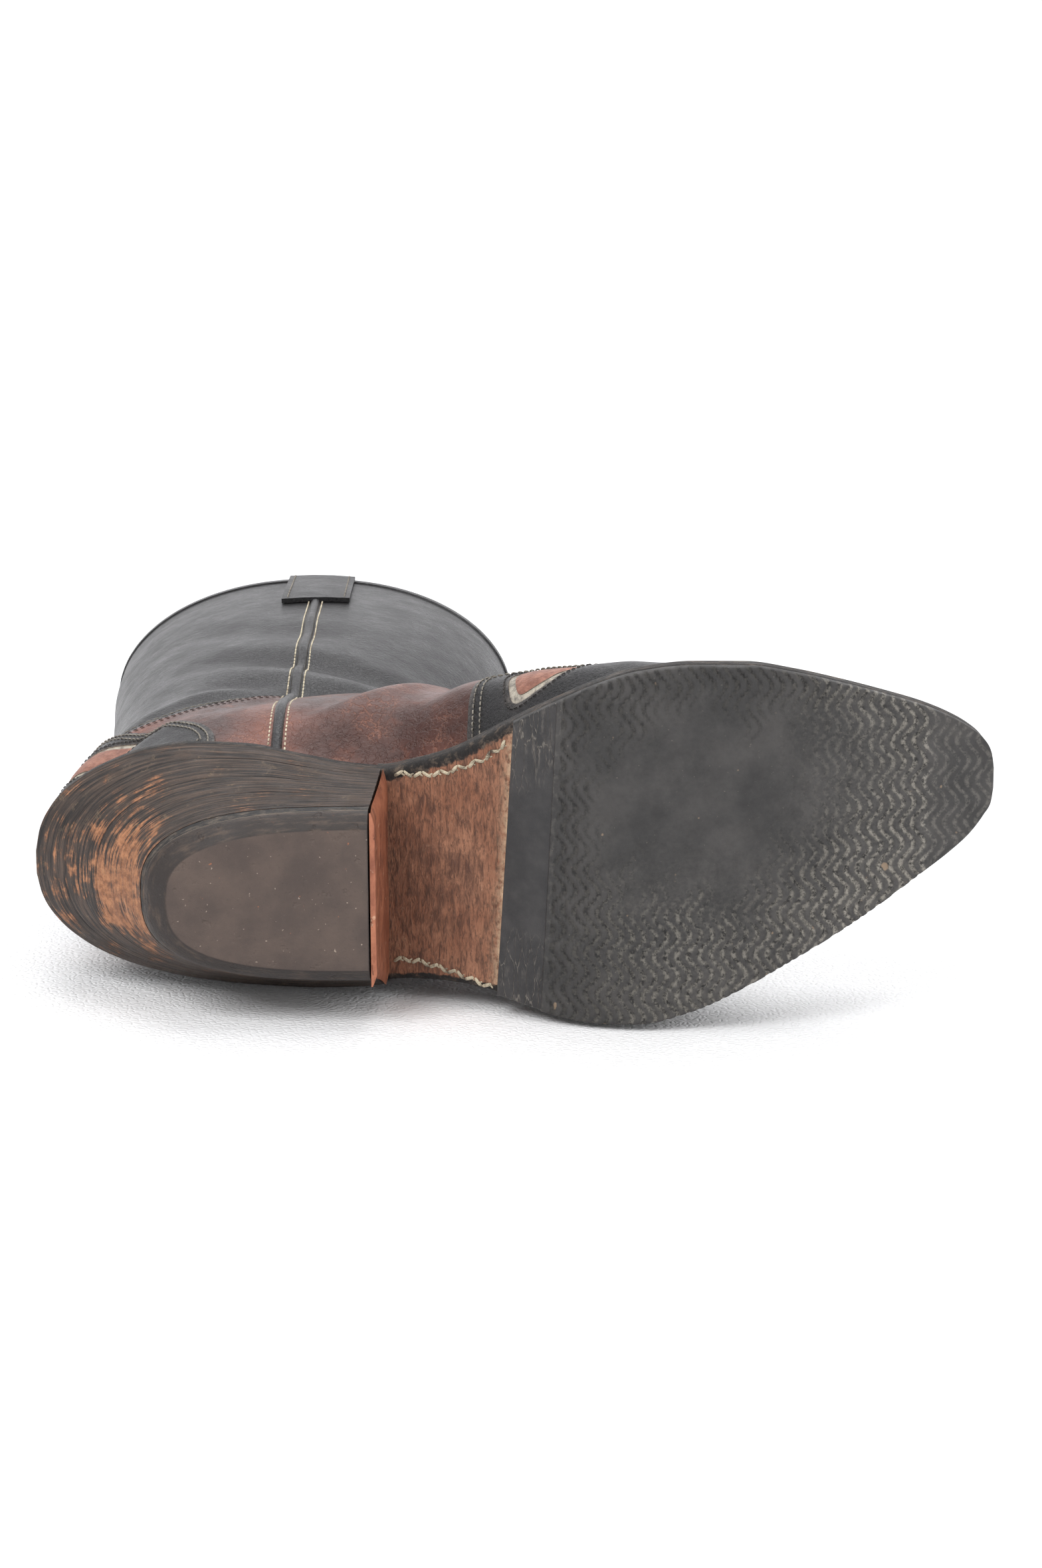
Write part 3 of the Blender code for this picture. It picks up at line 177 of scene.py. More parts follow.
# Sections of the upper. Each lies in a plane through a low point, on the sole or the back, and a high
# point, on the vamp or the front. Heights are over the sole's top face at that place.
# low_x, low_rise, high_x, high_rise: where the plane meets the middle of the upper
# outer, inner: half widths, counted from the sole's inset edge while on_sole is 1
# fullest: where it is widest, from 0 at the low point to 1 at the high point
# boxy: 1 for a flat low end with feather edges, 0 for an oval one; arch: how boxy its high end is
# ridge: side shift of the high point
SECTION_COLUMNS = ("low_x", "low_rise", "high_x", "high_rise", "outer", "inner", "on_sole",
                   "fullest", "boxy", "arch", "ridge")
REAR = SEAT_RIM
SECTIONS = [
    (0.980 * LENGTH, 0, 0.980 * LENGTH, 0.30 * TOE_BOX, 0, 0, 1, 0.50, 0.6, 2.0, -0.292 * BALL_WIDTH),
    (0.975 * LENGTH, 0, 0.972 * LENGTH, 0.52 * TOE_BOX, 0, 0, 1, 0.42, 0.8, 2.0, -0.292 * BALL_WIDTH),
    (0.960 * LENGTH, 0, 0.953 * LENGTH, 0.76 * TOE_BOX, 0, 0, 1, 0.34, 1.0, 2.1, -0.292 * BALL_WIDTH),
    (0.925 * LENGTH, 0, 0.915 * LENGTH, 0.95 * TOE_BOX, 0, 0, 1, 0.30, 1.0, 2.2, -0.284 * BALL_WIDTH),
    (0.867 * LENGTH, 0, 0.857 * LENGTH, 1.12 * TOE_BOX, 0, 0, 1, 0.28, 1.0, 2.2, -0.260 * BALL_WIDTH),
    (0.789 * LENGTH, 0, 0.776 * LENGTH, 0.78 * BALL_HEIGHT, 0, 0, 1, 0.25, 1.0, 2.1, -0.215 * BALL_WIDTH),
    (0.697 * LENGTH, 0, 0.687 * LENGTH, 1.02 * BALL_HEIGHT, 0, 0, 1, 0.24, 1.0, 2.0, -0.165 * BALL_WIDTH),
    (0.605 * LENGTH, 0, 0.612 * LENGTH, 0.53 * INSTEP_HEIGHT, 0, 0.035 * BALL_WIDTH, 1,
     0.26, 1.0, 1.95, -0.125 * BALL_WIDTH),
    (0.510 * LENGTH, 0, 0.551 * LENGTH, 0.66 * INSTEP_HEIGHT, 0.030 * BALL_WIDTH, 0.115 * BALL_WIDTH, 1,
     0.31, 1.0, 1.95, -0.100 * BALL_WIDTH),
    (0.415 * LENGTH, 0, 0.510 * LENGTH, 0.78 * INSTEP_HEIGHT, 0.050 * BALL_WIDTH, 0.190 * BALL_WIDTH, 1,
     0.34, 1.0, 2.0, -0.085 * BALL_WIDTH),
    (0.313 * LENGTH, 0, 0.483 * LENGTH, 0.90 * INSTEP_HEIGHT, 0.000 * BALL_WIDTH, 0.160 * BALL_WIDTH, 1,
     0.35, 1.0, 2.0, -0.070 * BALL_WIDTH),
    (0.211 * LENGTH, 0, REAR + 1.110 * ANKLE_DEPTH, 1.00 * INSTEP_HEIGHT, 0.460 * SEAT_WIDTH,
     0.535 * SEAT_WIDTH, 0, 0.32, 1.0, 2.0, -0.055 * BALL_WIDTH),
    (0.122 * LENGTH, 0, REAR + 1.090 * ANKLE_DEPTH, INSTEP_HEIGHT + 0.065 * ABOVE_INSTEP,
     0.455 * SEAT_WIDTH, 0.515 * SEAT_WIDTH, 0, 0.30, 1.0, 2.0, -0.045 * BALL_WIDTH),
    (0.058 * LENGTH, 0, REAR + 1.078 * ANKLE_DEPTH, INSTEP_HEIGHT + 0.120 * ABOVE_INSTEP,
     0.448 * SEAT_WIDTH, 0.490 * SEAT_WIDTH, 0, 0.30, 1.0, 2.0, -0.038 * BALL_WIDTH),
    (0.024 * LENGTH, 0, REAR + 1.075 * ANKLE_DEPTH, INSTEP_HEIGHT + 0.165 * ABOVE_INSTEP,
     0.442 * SEAT_WIDTH, 0.470 * SEAT_WIDTH, 0, 0.32, 0.95, 2.0, -0.032 * BALL_WIDTH),
    (REAR + 0.000 * ANKLE_DEPTH, 0.030 * SHAFT_RISE, REAR + 1.073 * ANKLE_DEPTH,
     INSTEP_HEIGHT + 0.210 * ABOVE_INSTEP, 0.437 * SEAT_WIDTH, 0.455 * SEAT_WIDTH, 0,
     0.36, 0.45, 2.0, -0.028 * BALL_WIDTH),
    (REAR - 0.012 * ANKLE_DEPTH, 0.095 * SHAFT_RISE, REAR + 1.073 * ANKLE_DEPTH,
     INSTEP_HEIGHT + 0.265 * ABOVE_INSTEP, 0.435 * SEAT_WIDTH, 0.445 * SEAT_WIDTH, 0,
     0.39, 0.1, 2.0, -0.024 * BALL_WIDTH),
    (REAR + 0.018 * ANKLE_DEPTH, 0.195 * SHAFT_RISE, REAR + 1.084 * ANKLE_DEPTH,
     INSTEP_HEIGHT + 0.340 * ABOVE_INSTEP, 0.412 * SHAFT_WIDTH, 0.412 * SHAFT_WIDTH, 0,
     0.42, 0, 2.0, -0.018 * BALL_WIDTH),
    (REAR + 0.048 * ANKLE_DEPTH, 0.325 * SHAFT_RISE, REAR + 1.108 * ANKLE_DEPTH,
     INSTEP_HEIGHT + 0.440 * ABOVE_INSTEP, 0.430 * SHAFT_WIDTH, 0.430 * SHAFT_WIDTH, 0,
     0.45, 0, 2.0, -0.012 * BALL_WIDTH),
    (REAR + 0.032 * ANKLE_DEPTH, 0.485 * SHAFT_RISE, REAR + 0.918 * SHAFT_DEPTH,
     INSTEP_HEIGHT + 0.565 * ABOVE_INSTEP, 0.462 * SHAFT_WIDTH, 0.462 * SHAFT_WIDTH, 0,
     0.48, 0, 2.05, -0.008 * BALL_WIDTH),
    (REAR - 0.008 * ANKLE_DEPTH, 0.680 * SHAFT_RISE, REAR + 0.945 * SHAFT_DEPTH,
     INSTEP_HEIGHT + 0.720 * ABOVE_INSTEP, 0.488 * SHAFT_WIDTH, 0.488 * SHAFT_WIDTH, 0,
     0.50, 0, 2.1, -0.006 * BALL_WIDTH),
    (REAR - 0.045 * ANKLE_DEPTH, 0.850 * SHAFT_RISE, REAR + 0.963 * SHAFT_DEPTH,
     INSTEP_HEIGHT + 0.862 * ABOVE_INSTEP, 0.500 * SHAFT_WIDTH, 0.500 * SHAFT_WIDTH, 0,
     0.50, 0, 2.15, -0.005 * BALL_WIDTH),
    (REAR - 0.062 * ANKLE_DEPTH, 1.000 * SHAFT_RISE, REAR + 0.972 * SHAFT_DEPTH,
     INSTEP_HEIGHT + 1.000 * ABOVE_INSTEP, 0.500 * SHAFT_WIDTH, 0.500 * SHAFT_WIDTH, 0,
     0.50, 0, 2.15, -0.005 * BALL_WIDTH),
]
SHAFT_CENTRE = -0.018 * BALL_WIDTH
HOLE_FIRST = 3.0
INNER_TOE = 1.4
HOLE_LAST = 13.0
SEAT_LAST = 14.0
SCALLOP_FROM = 18.0
TOP = len(SECTIONS) - 1.0

# Rear edge of the wingtip seen from the side: place along the length, height over the sole
WINGTIP_EDGE = [
    (0.460 * LENGTH, 0.00 * BALL_HEIGHT),
    (0.460 * LENGTH, 0.28 * BALL_HEIGHT),
    (0.464 * LENGTH, 0.52 * BALL_HEIGHT),
    (0.476 * LENGTH, 0.72 * BALL_HEIGHT),
    (0.498 * LENGTH, 0.83 * BALL_HEIGHT),
    (0.528 * LENGTH, 0.84 * BALL_HEIGHT),
    (0.558 * LENGTH, 0.77 * BALL_HEIGHT),
    (0.582 * LENGTH, 0.69 * BALL_HEIGHT),
    (0.600 * LENGTH, 0.76 * BALL_HEIGHT),
    (0.622 * LENGTH, 0.87 * BALL_HEIGHT),
    (0.650 * LENGTH, 0.92 * BALL_HEIGHT),
    (0.655 * LENGTH, 1.00 * BALL_HEIGHT),
    (0.625 * LENGTH, 1.16 * BALL_HEIGHT),
    (0.590 * LENGTH, 1.60 * BALL_HEIGHT),
]
WINGTIP_LAST = 10.0

# Upper edge of the counter overlay seen from the side: place along the length, height over the seat
COUNTER_EDGE = [
    (0.190 * LENGTH, 0.00 * INSTEP_HEIGHT),
    (0.186 * LENGTH, 0.08 * INSTEP_HEIGHT),
    (0.170 * LENGTH, 0.16 * INSTEP_HEIGHT),
    (0.140 * LENGTH, 0.25 * INSTEP_HEIGHT),
    (0.105 * LENGTH, 0.34 * INSTEP_HEIGHT),
    (0.075 * LENGTH, 0.43 * INSTEP_HEIGHT),
    (0.045 * LENGTH, 0.52 * INSTEP_HEIGHT),
    (0.020 * LENGTH, 0.57 * INSTEP_HEIGHT),
    (-0.040 * LENGTH, 0.59 * INSTEP_HEIGHT),
]
COUNTER_FIRST = 10.0
COUNTER_LAST = 19.0
HEEL_OVERHANG = 0.040 * LENGTH

# Ends of the piping and of the pull straps, as sections
PIPING_FIRST = 10.62
PIPING_LAST = 20.5
STRAP_FIRST = 20.6

# Underslung heel, from the top lift's rim to the seat: height share, rear flare, side flare
HEEL_FLARE = [(0.00, 0.00, 0.00), (0.20, 0.11, 0.16), (0.40, 0.27, 0.34), (0.60, 0.47, 0.54),
              (0.80, 0.71, 0.77), (0.93, 0.90, 0.93), (1.00, 1.00, 1.00)]


def smooth(table, column, at):
    """Monotone cubic through one column of a table, over its first column."""
    data = np.array([(row[0], row[column]) for row in table], float)
    return smooth_values(data[:, 0], data[:, 1], at)


def smooth_values(xs, ys, at):
    """Monotone cubic through the points (xs, ys)."""
    step = np.diff(xs)
    slope = np.diff(ys) / step
    tangent = np.zeros(len(xs))
    tangent[0], tangent[-1] = slope[0], slope[-1]
    same = slope[:-1] * slope[1:] > 0
    weight_a = 2 * step[1:] + step[:-1]
    weight_b = step[1:] + 2 * step[:-1]
    inner = np.zeros(len(slope) - 1)
    inner[same] = (weight_a + weight_b)[same] / (weight_a[same] / slope[:-1][same]
                                                 + weight_b[same] / slope[1:][same])
    tangent[1:-1] = inner
    at = np.clip(np.asarray(at, float), xs[0], xs[-1])
    k = np.clip(np.searchsorted(xs, at, side="right") - 1, 0, len(step) - 1)
    t = (at - xs[k]) / step[k]
    return ((1 + 2 * t) * (1 - t) ** 2 * ys[k] + t * (1 - t) ** 2 * step[k] * tangent[k]
            + t * t * (3 - 2 * t) * ys[k + 1] + t * t * (t - 1) * step[k] * tangent[k + 1])


def sole_edge(side, x):
    """Outline of the sole: side -1 is the inner edge, +1 the outer."""
    return smooth(OUTLINE, 1 if side < 0 else 2, x)


def underside(x):
    """Height of the leather outsole's underside."""
    return smooth(PROFILE, 1, x)


def sole_top(x):
    """Height at which the upper and the welt sit on the outsole."""
    return underside(x) + OUTSOLE + GAP


def rim_width(x):
    """How far the upper stands inside the sole's edge: less at the seat than along the welt."""
    return SEAT_RIM + (WELT_WIDTH - SEAT_RIM) * np.clip((x - 0.8 * HEEL_BREAST) / (0.2 * HEEL_BREAST), 0, 1)


def outline_loop():
    """The sole's outline from the rear, along the outer edge, round the toe and back, as flat points."""
    x = LENGTH * 0.5 * (1 - np.cos(np.linspace(0, math.pi, OUTLINE_POINTS)))
    outer = np.column_stack([x, sole_edge(1, x)])
    inner = np.column_stack([x, sole_edge(-1, x)])[::-1]
    return np.vstack([outer, inner])


def inset_loop(extra=0.0):
    """The outline moved in by the rim, to where the upper stands."""
    loop = outline_loop()
    tangent = np.roll(loop, -1, axis=0) - np.roll(loop, 1, axis=0)
    tangent /= np.linalg.norm(tangent, axis=1)[:, None]
    inward = np.column_stack([tangent[:, 1], -tangent[:, 0]])
    return loop + inward * (rim_width(loop[:, 0]) + extra)[:, None]


def inset_edge(side, x, extra=0.0):
    """Edge of the inset outline at a place along the length."""
    loop = inset_loop(extra)
    half = len(loop) // 2
    part = loop[:half] if side > 0 else loop[half:][::-1]
    return np.interp(x, np.maximum.accumulate(part[:, 0]), part[:, 1])


def section_value(name, k):
    """One column of the upper's table at section k, which may lie between two sections."""
    column = SECTION_COLUMNS.index(name)
    numbered = [(i, row[column]) for i, row in enumerate(SECTIONS)]
    return float(smooth(numbered, 1, k))


class Section:
    """One ring of the upper: a boxy or oval loop in a plane through its low and its high point."""

    def __init__(self, k):
        self.k = k
        low_x, high_x = section_value("low_x", k), section_value("high_x", k)
        low_z = float(sole_top(low_x)) + section_value("low_rise", k)
        high_z = float(sole_top(high_x)) + section_value("high_rise", k)
        self.span = math.hypot(high_x - low_x, high_z - low_z)
        self.low = np.array([low_x, 0.0, low_z])
        self.along = np.array([high_x - low_x, 0.0, high_z - low_z]) / self.span
        self.flat, self.normal, self.arc = {}, {}, {}
        self.shape()

    def shape(self):
        """Work out both half loops from the low point to the high point."""
        k, low_x = self.k, self.low[0]
        on_seat = float(np.clip(SEAT_LAST + 1 - k, 0, 1))
        on_sole = section_value("on_sole", k)
        edges = {side: float(inset_edge(side, low_x)) for side in (1, -1)}
        low_y = on_seat * 0.5 * (edges[1] + edges[-1]) + (1 - on_seat) * SHAFT_CENTRE
        high_y = section_value("ridge", k)
        fullest = section_value("fullest", k)
        widest_y = low_y + (high_y - low_y) * fullest
        for side, name in ((1, "outer"), (-1, "inner")):
            own = section_value(name, k)
            full = on_sole * (side * (edges[side] - widest_y) + own) + (1 - on_sole) * own
            foot = max(side * (edges[side] - low_y), 0)
            low = self.low_part(foot, full, fullest * self.span)
            high = self.high_part(full, fullest * self.span)
            reach, up = np.vstack([low, high[1:]]).T
            flat = np.column_stack([low_y + (high_y - low_y) * up / self.span + side * reach, up])
            slope = np.gradient(flat, axis=0)
            slope /= np.maximum(np.linalg.norm(slope, axis=1), 1e-12)[:, None]
            normal = side * np.column_stack([slope[:, 1], -slope[:, 0]])
            normal[0], normal[-1] = (0, -1), (0, 1)
            self.flat[side], self.normal[side] = flat, normal
            steps = np.linalg.norm(np.diff(flat, axis=0), axis=1)
            self.arc[side] = np.concatenate([[0], np.cumsum(steps)])

    def low_part(self, foot, full, tall):
        """Half loop below its widest place: a flat foot with a feather edge, mixed with an oval."""
        u = np.linspace(0, 1, DENSE)
        bottom, bend, wall = (np.clip((u - first) / (last - first), 0, 1) for first, last in
                              ((0, FLAT_SHARE), (FLAT_SHARE, BEND_SHARE), (BEND_SHARE, 1)))
        radius = min(FEATHER_RADIUS, foot)
        up = radius * (1 - np.cos(0.5 * math.pi * bend)) + wall * (tall - radius)
        climb = np.clip((up - WELT) / (tall - WELT), 0, 1) ** 0.8
        swell = climb ** 2 * (3 - 2 * climb)
        out = bottom * (foot - radius) + radius * np.sin(0.5 * math.pi * bend) + (full - foot) * swell
        oval_out = full * np.sin(0.5 * math.pi * u) ** (2 / OVAL)
        oval_up = tall * (1 - np.abs(np.cos(0.5 * math.pi * u)) ** (2 / OVAL))
        boxy = section_value("boxy", self.k)
        return np.column_stack([boxy * out + (1 - boxy) * oval_out, boxy * up + (1 - boxy) * oval_up])

    def high_part(self, full, tall):
        """Half loop from its widest place to the ridge."""
        turn = np.linspace(0, 0.5 * math.pi, DENSE)
        arch = section_value("arch", self.k)
        out = full * np.abs(np.cos(turn)) ** (2 / arch)
        out[-1] = 0
        return np.column_stack([out, tall + (self.span - tall) * np.sin(turn) ** (2 / arch)])

    def corner(self, side):
        """Length along the half loop to its feather edge."""
        return float(np.interp(FEATHER, self.flat[side][:, 1], self.arc[side]))

    def stations(self, side, count):
        """Lengths along a half loop, from the lasting margin's edge over the feather edge to the top."""
        corner = self.corner(side)
        margin = max(corner - LASTING_MARGIN, 0.3 * corner)
        rest = np.linspace(corner + 3 * FEATHER, self.arc[side][-1], count - 2)
        return np.concatenate([[margin, corner], rest])

    def at(self, side, arcs, offset=0.0):
        """Points at lengths along a half loop, moved out by an offset."""
        arc = self.arc[side]
        y = np.interp(arcs, arc, self.flat[side][:, 0])
        s = np.interp(arcs, arc, self.flat[side][:, 1])
        normal = np.column_stack([np.interp(arcs, arc, self.normal[side][:, i]) for i in (0, 1)])
        normal /= np.linalg.norm(normal, axis=1)[:, None]
        points = self.low + np.outer(s + offset * normal[:, 1], self.along)
        points[:, 1] = y + offset * normal[:, 0]
        points[:, 2] += self.scallop(y)
        return points

    def scallop(self, y):
        """Rise of the collar at its sides and dip at its front and back."""
        share = float(np.clip((self.k - SCALLOP_FROM) / (TOP - SCALLOP_FROM), 0, 1)) ** 1.5
        aside = np.clip(np.abs(y - SHAFT_CENTRE) / (0.5 * SHAFT_WIDTH), 0, 1)
        return SCALLOP * share * (aside ** 1.6 - 0.5)

    def loop(self, count, offset=0.0):
        """Closed ring of points: outer side up to the ridge, then down the inner side."""
        outer = self.at(1, self.stations(1, count), offset)
        inner = self.at(-1, self.stations(-1, count), offset)
        return np.vstack([outer, inner[::-1][1:]])


def lift_outline(length, width):
    """D-shaped outline of the top lift, from its outer breast corner round the rear."""
    turn = np.linspace(0, math.pi, HEEL_POINTS)
    x = HEEL_BREAST - length * np.abs(np.sin(turn)) ** (2 / LIFT_SQUARE)
    y = 0.5 * width * np.sign(np.cos(turn)) * np.abs(np.cos(turn)) ** (2 / LIFT_SQUARE)
    return np.column_stack([x, y])


def seat_outline():
    """The sole's outline round the heel seat, matched to the lift's points."""
    turn = np.linspace(0, math.pi, HEEL_POINTS)
    x = HEEL_BREAST * (1 - np.abs(np.sin(turn)) ** (2 / 2.2))
    y = np.where(turn <= math.pi / 2, sole_edge(1, x), sole_edge(-1, x))
    y[HEEL_POINTS // 2] = 0.5 * (sole_edge(1, 0) + sole_edge(-1, 0))
    return np.column_stack([x, y])


def heel_ring(z, share):
    """Outline of the heel at a share of the way from the lift's rim to the seat."""
    rim = lift_outline(LIFT_LENGTH + LIFT_REAR_BEVEL, LIFT_WIDTH + 2 * LIFT_BEVEL)
    seat = seat_outline()
    rear = float(smooth(HEEL_FLARE, 1, share))
    side = float(smooth(HEEL_FLARE, 2, share))
    x = rim[:, 0] + (seat[:, 0] - rim[:, 0]) * rear
    y = rim[:, 1] + (seat[:, 1] - rim[:, 1]) * side
    x += BREAST_SLOPE * share * (x / HEEL_BREAST).clip(0, 1) ** 4
    return np.column_stack([x, y, np.full(len(x), z)])


def seam_arc(section, side, x):
    """Length along a half loop at which it passes a place along the boot."""
    along = (x - section.low[0]) / section.along[0]
    return float(np.interp(along, section.flat[side][:, 1], section.arc[side]))


# Where the standing boot lies in the part: its two mounts tell
HEEL_REST_X, TREAD_REST_X, TREAD_REST_Y = 0.075, 0.68 * LENGTH, -0.015


def unit(v):
    """The vector at length 1."""
    return v / np.linalg.norm(v)


def boot_axes():
    """The boot's origin and its three directions in the part, from the mounts on the lift and the tread."""
    mounts = {m["name"]: m for m in frame["record"]["mounts"]}
    heel, tread = (np.array(mounts[name]["pos_m"], float) for name in ("heel_rest", "tread_rest"))
    up = -unit(np.array(mounts["heel_rest"]["axis"], float))
    step = unit(tread - heel - up * np.dot(tread - heel, up))
    angle = math.atan2(TREAD_REST_Y, TREAD_REST_X - HEEL_REST_X)
    forward = math.cos(angle) * step - math.sin(angle) * np.cross(up, step)
    return heel - forward * HEEL_REST_X, forward, np.cross(up, forward), up


ORIGIN, FORWARD, OUTWARD, UP = boot_axes()
TURN = np.array([FORWARD, OUTWARD, UP])


def lay(points):
    """Points of the standing boot in the part's own frame."""
    return ORIGIN + np.asarray(points, float) @ TURN


# Meshes

def add(name, points, faces, looks, nodes=(), marks=None, kinds=None, sharp=40):
    """A piece of the boot: laid down, with its materials, its marks (a number for each point) and its nodes."""
    mesh = bpy.data.meshes.new(name)
    mesh.from_pydata(lay(points).tolist(), [], [tuple(f) for f in faces])
    for key, values in (marks or {}).items():
        layer = mesh.attributes.new(key, "FLOAT", "POINT")
        layer.data.foreach_set("value", np.asarray(values, np.float32))
    for look in looks:
        mesh.materials.append(look)
    if kinds is not None:
        mesh.polygons.foreach_set("material_index", np.asarray(kinds, np.int32))
    work = bmesh.new()
    work.from_mesh(mesh)
    bmesh.ops.recalc_face_normals(work, faces=work.faces)
    work.to_mesh(mesh)
    work.free()
    mesh.shade_smooth()
    mesh.set_sharp_from_angle(angle=math.radians(sharp))
    piece = bpy.data.objects.new(name, mesh)
    bpy.context.scene.collection.objects.link(piece)
    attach(piece, "root")
    if nodes:
        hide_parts(*nodes)
    return piece


def quads(rows, columns, closed=False):
    """Faces of a grid of points, row by row."""
    r = np.arange(rows - 1)[:, None] * columns
    c = np.arange(columns if closed else columns - 1)[None, :]
    d = (c + 1) % columns
    return np.stack([r + c, r + d, r + columns + d, r + columns + c], axis=-1).reshape(-1, 4)


def halves(faces):
    """Quads as triangles."""
    return np.vstack([faces[:, [0, 1, 2]], faces[:, [0, 2, 3]]])


def rim_of(faces):
    """Edges that only one face has, in that face's direction."""
    edges = np.vstack([np.column_stack([faces[:, i], faces[:, (i + 1) % faces.shape[1]]])
                       for i in range(faces.shape[1])])
    have = {(a, b) for a, b in edges.tolist()}
    return [(a, b) for a, b in edges.tolist() if (b, a) not in have]


def shell(faces, front, back):
    """Faces of a closed shell: front, back and rim walls, with 0 for front, 1 for back and 2 for rim."""
    count = len(front)
    rim = [(b, a, a + count, b + count) for a, b in rim_of(faces)]
    behind = (faces[:, ::-1] + count).tolist()
    kinds = [0] * len(faces) + [1] * len(behind) + [2] * len(rim)
    return np.vstack([front, back]), faces.tolist() + behind + rim, kinds


def cut_share(values, a, b):
    """Where a value passes 0 between two points."""
    return values[a] / (values[a] - values[b])


def clip(triangles, values):
    """Triangles on the negative side of 0, cut at it. New points come as (point, point, share)."""
    below = values < 0
    flags = below[triangles]
    crossing = triangles[flags.any(axis=1) & ~flags.all(axis=1)]
    faces, made, count = [], {}, len(values)

    def cut(a, b):
        key = (a, b) if a < b else (b, a)
        return made.setdefault(key, count + len(made))

    for a, b, c in crossing.tolist():
        while not below[a] or below[c]:
            a, b, c = b, c, a
        if below[b]:
            faces += [(a, b, cut(b, c)), (a, cut(b, c), cut(a, c))]
        else:
            faces.append((a, cut(a, b), cut(a, c)))
    faces = np.vstack([triangles[flags.all(axis=1)], np.array(faces, int).reshape(-1, 3)])
    pairs = np.array([(a, b) for a, b in made], int).reshape(-1, 2)
    shares = np.array([cut_share(values, a, b) for a, b in made], float)
    used, compact = np.unique(faces, return_inverse=True)
    first = np.concatenate([np.arange(count), pairs[:, 0]])[used]
    second = np.concatenate([np.arange(count), pairs[:, 1]])[used]
    share = np.concatenate([np.zeros(count), shares])[used]
    return compact.reshape(-1, 3), (first, second, share)


def take(array, mix):
    """Values at clipped points."""
    first, second, share = mix
    share = share if array.ndim == 1 else share[:, None]
    return array[first] * (1 - share) + array[second] * share


def contours(triangles, values, level):
    """Lines on which a value passes a level, as chains of (point, point, share)."""
    v = values - level
    below = v < 0
    flags = below[triangles]
    crossing = triangles[flags.any(axis=1) & ~flags.all(axis=1)]
    near = {}
    for tri in crossing.tolist():
        ends = [(min(a, b), max(a, b)) for a, b in zip(tri, tri[1:] + tri[:1]) if below[a] != below[b]]
        near.setdefault(ends[0], []).append(ends[1])
        near.setdefault(ends[1], []).append(ends[0])
    chains = []
    left = dict.fromkeys(sorted(near, key=lambda key: (len(near[key]), key)))
    while left:
        here = next(iter(left))
        chain = [here]
        del left[here]
        while True:
            ahead = [p for p in near[here] if p in left]
            if not ahead:
                break
            here = ahead[0]
            chain.append(here)
            del left[here]
        if len(chain) > 3:
            if chain[0] in near[chain[-1]] and len(chain) > 8:
                chain.append(chain[0])
            pairs = np.array(chain, int)
            chains.append((pairs[:, 0], pairs[:, 1], cut_share(v, pairs[:, 0], pairs[:, 1])))
    return chains


def spaced(line, pitch, *arrays):
    """Points evenly along a line, and what else goes with its points."""
    run = np.concatenate([[0], np.cumsum(np.linalg.norm(np.diff(line, axis=0), axis=1))])
    count = max(2, int(run[-1] / pitch))
    at = np.linspace(0, run[-1], count)
    found = [np.column_stack([np.interp(at, run, a[:, i]) for i in range(a.shape[1])])
             for a in (line,) + arrays]
    return found


def frames(line, normals):
    """Direction, outward and sideways unit vectors along a line on a surface."""
    along = np.gradient(line, axis=0)
    along /= np.maximum(np.linalg.norm(along, axis=1), 1e-12)[:, None]
    out = normals - along * np.sum(normals * along, axis=1)[:, None]
    out /= np.maximum(np.linalg.norm(out, axis=1), 1e-12)[:, None]
    return along, out, np.cross(along, out)


class Stitches:
    """Many short threads gathered into one mesh."""

    def __init__(self):
        self.points, self.faces, self.count = [], [], 0

    def thread(self, place, along, out, aside, length, wide, high):
        """One thread that bulges from the surface and dives in at both ends."""
        rings = ((-0.5, 0.45, -0.5), (-0.3, 0.95, 0.25), (0.0, 1.0, 0.45), (0.3, 0.95, 0.25), (0.5, 0.45, -0.5))
        start = self.count
        for step, grow, lift in rings:
            for i in range(6):
                turn = 2 * math.pi * i / 6
                self.points.append(place + along * step * length + aside * 0.5 * wide * grow * math.cos(turn)
                                   + out * high * (lift + 0.5 * grow * math.sin(turn)))
        for r in range(len(rings) - 1):
            for i in range(6):
                j = (i + 1) % 6
                a, b = start + 6 * r, start + 6 * (r + 1)
                self.faces.append((a + i, a + j, b + j, b + i))
        self.faces.append(tuple(start + i for i in range(6))[::-1])
        self.faces.append(tuple(start + 6 * (len(rings) - 1) + i for i in range(6)))
        self.count += 6 * len(rings)

    def row(self, line, normals, pitch, length, wide, high, lean=0.0, lift=0.0):
        """A row of threads along a line, leaning to either side by turns if asked."""
        places, outs = spaced(line, pitch, normals)
        along, out, aside = frames(places, outs)
        for i in range(len(places) - 1):
            middle = 0.5 * (places[i] + places[i + 1]) + out[i] * lift
            turn = lean * (1 if i % 2 else -1)
            direction = along[i] * math.cos(turn) + aside[i] * math.sin(turn)
            beside = -along[i] * math.sin(turn) + aside[i] * math.cos(turn)
            self.thread(middle, direction, out[i], beside, length, wide, high)

    def finish(self, name, look, slot):
        """The rows as one piece."""
        return add(name, np.array(self.points), self.faces, [look], sharp=80)


def sweep(line, normals, profile):
    """Grid of points: a profile of (sideways, outward) carried along a line."""
    along, out, aside = frames(line, normals)
    return np.stack([line + aside * s + out * o for s, o in profile], axis=1)


# Node materials

def tone(red, green, blue):
    """A colour seen as 0 to 255 in linear light."""
    values = [c / 255 for c in (red, green, blue)]
    return tuple(v / 12.92 if v <= 0.04045 else ((v + 0.055) / 1.055) ** 2.4 for v in values) + (1.0,)


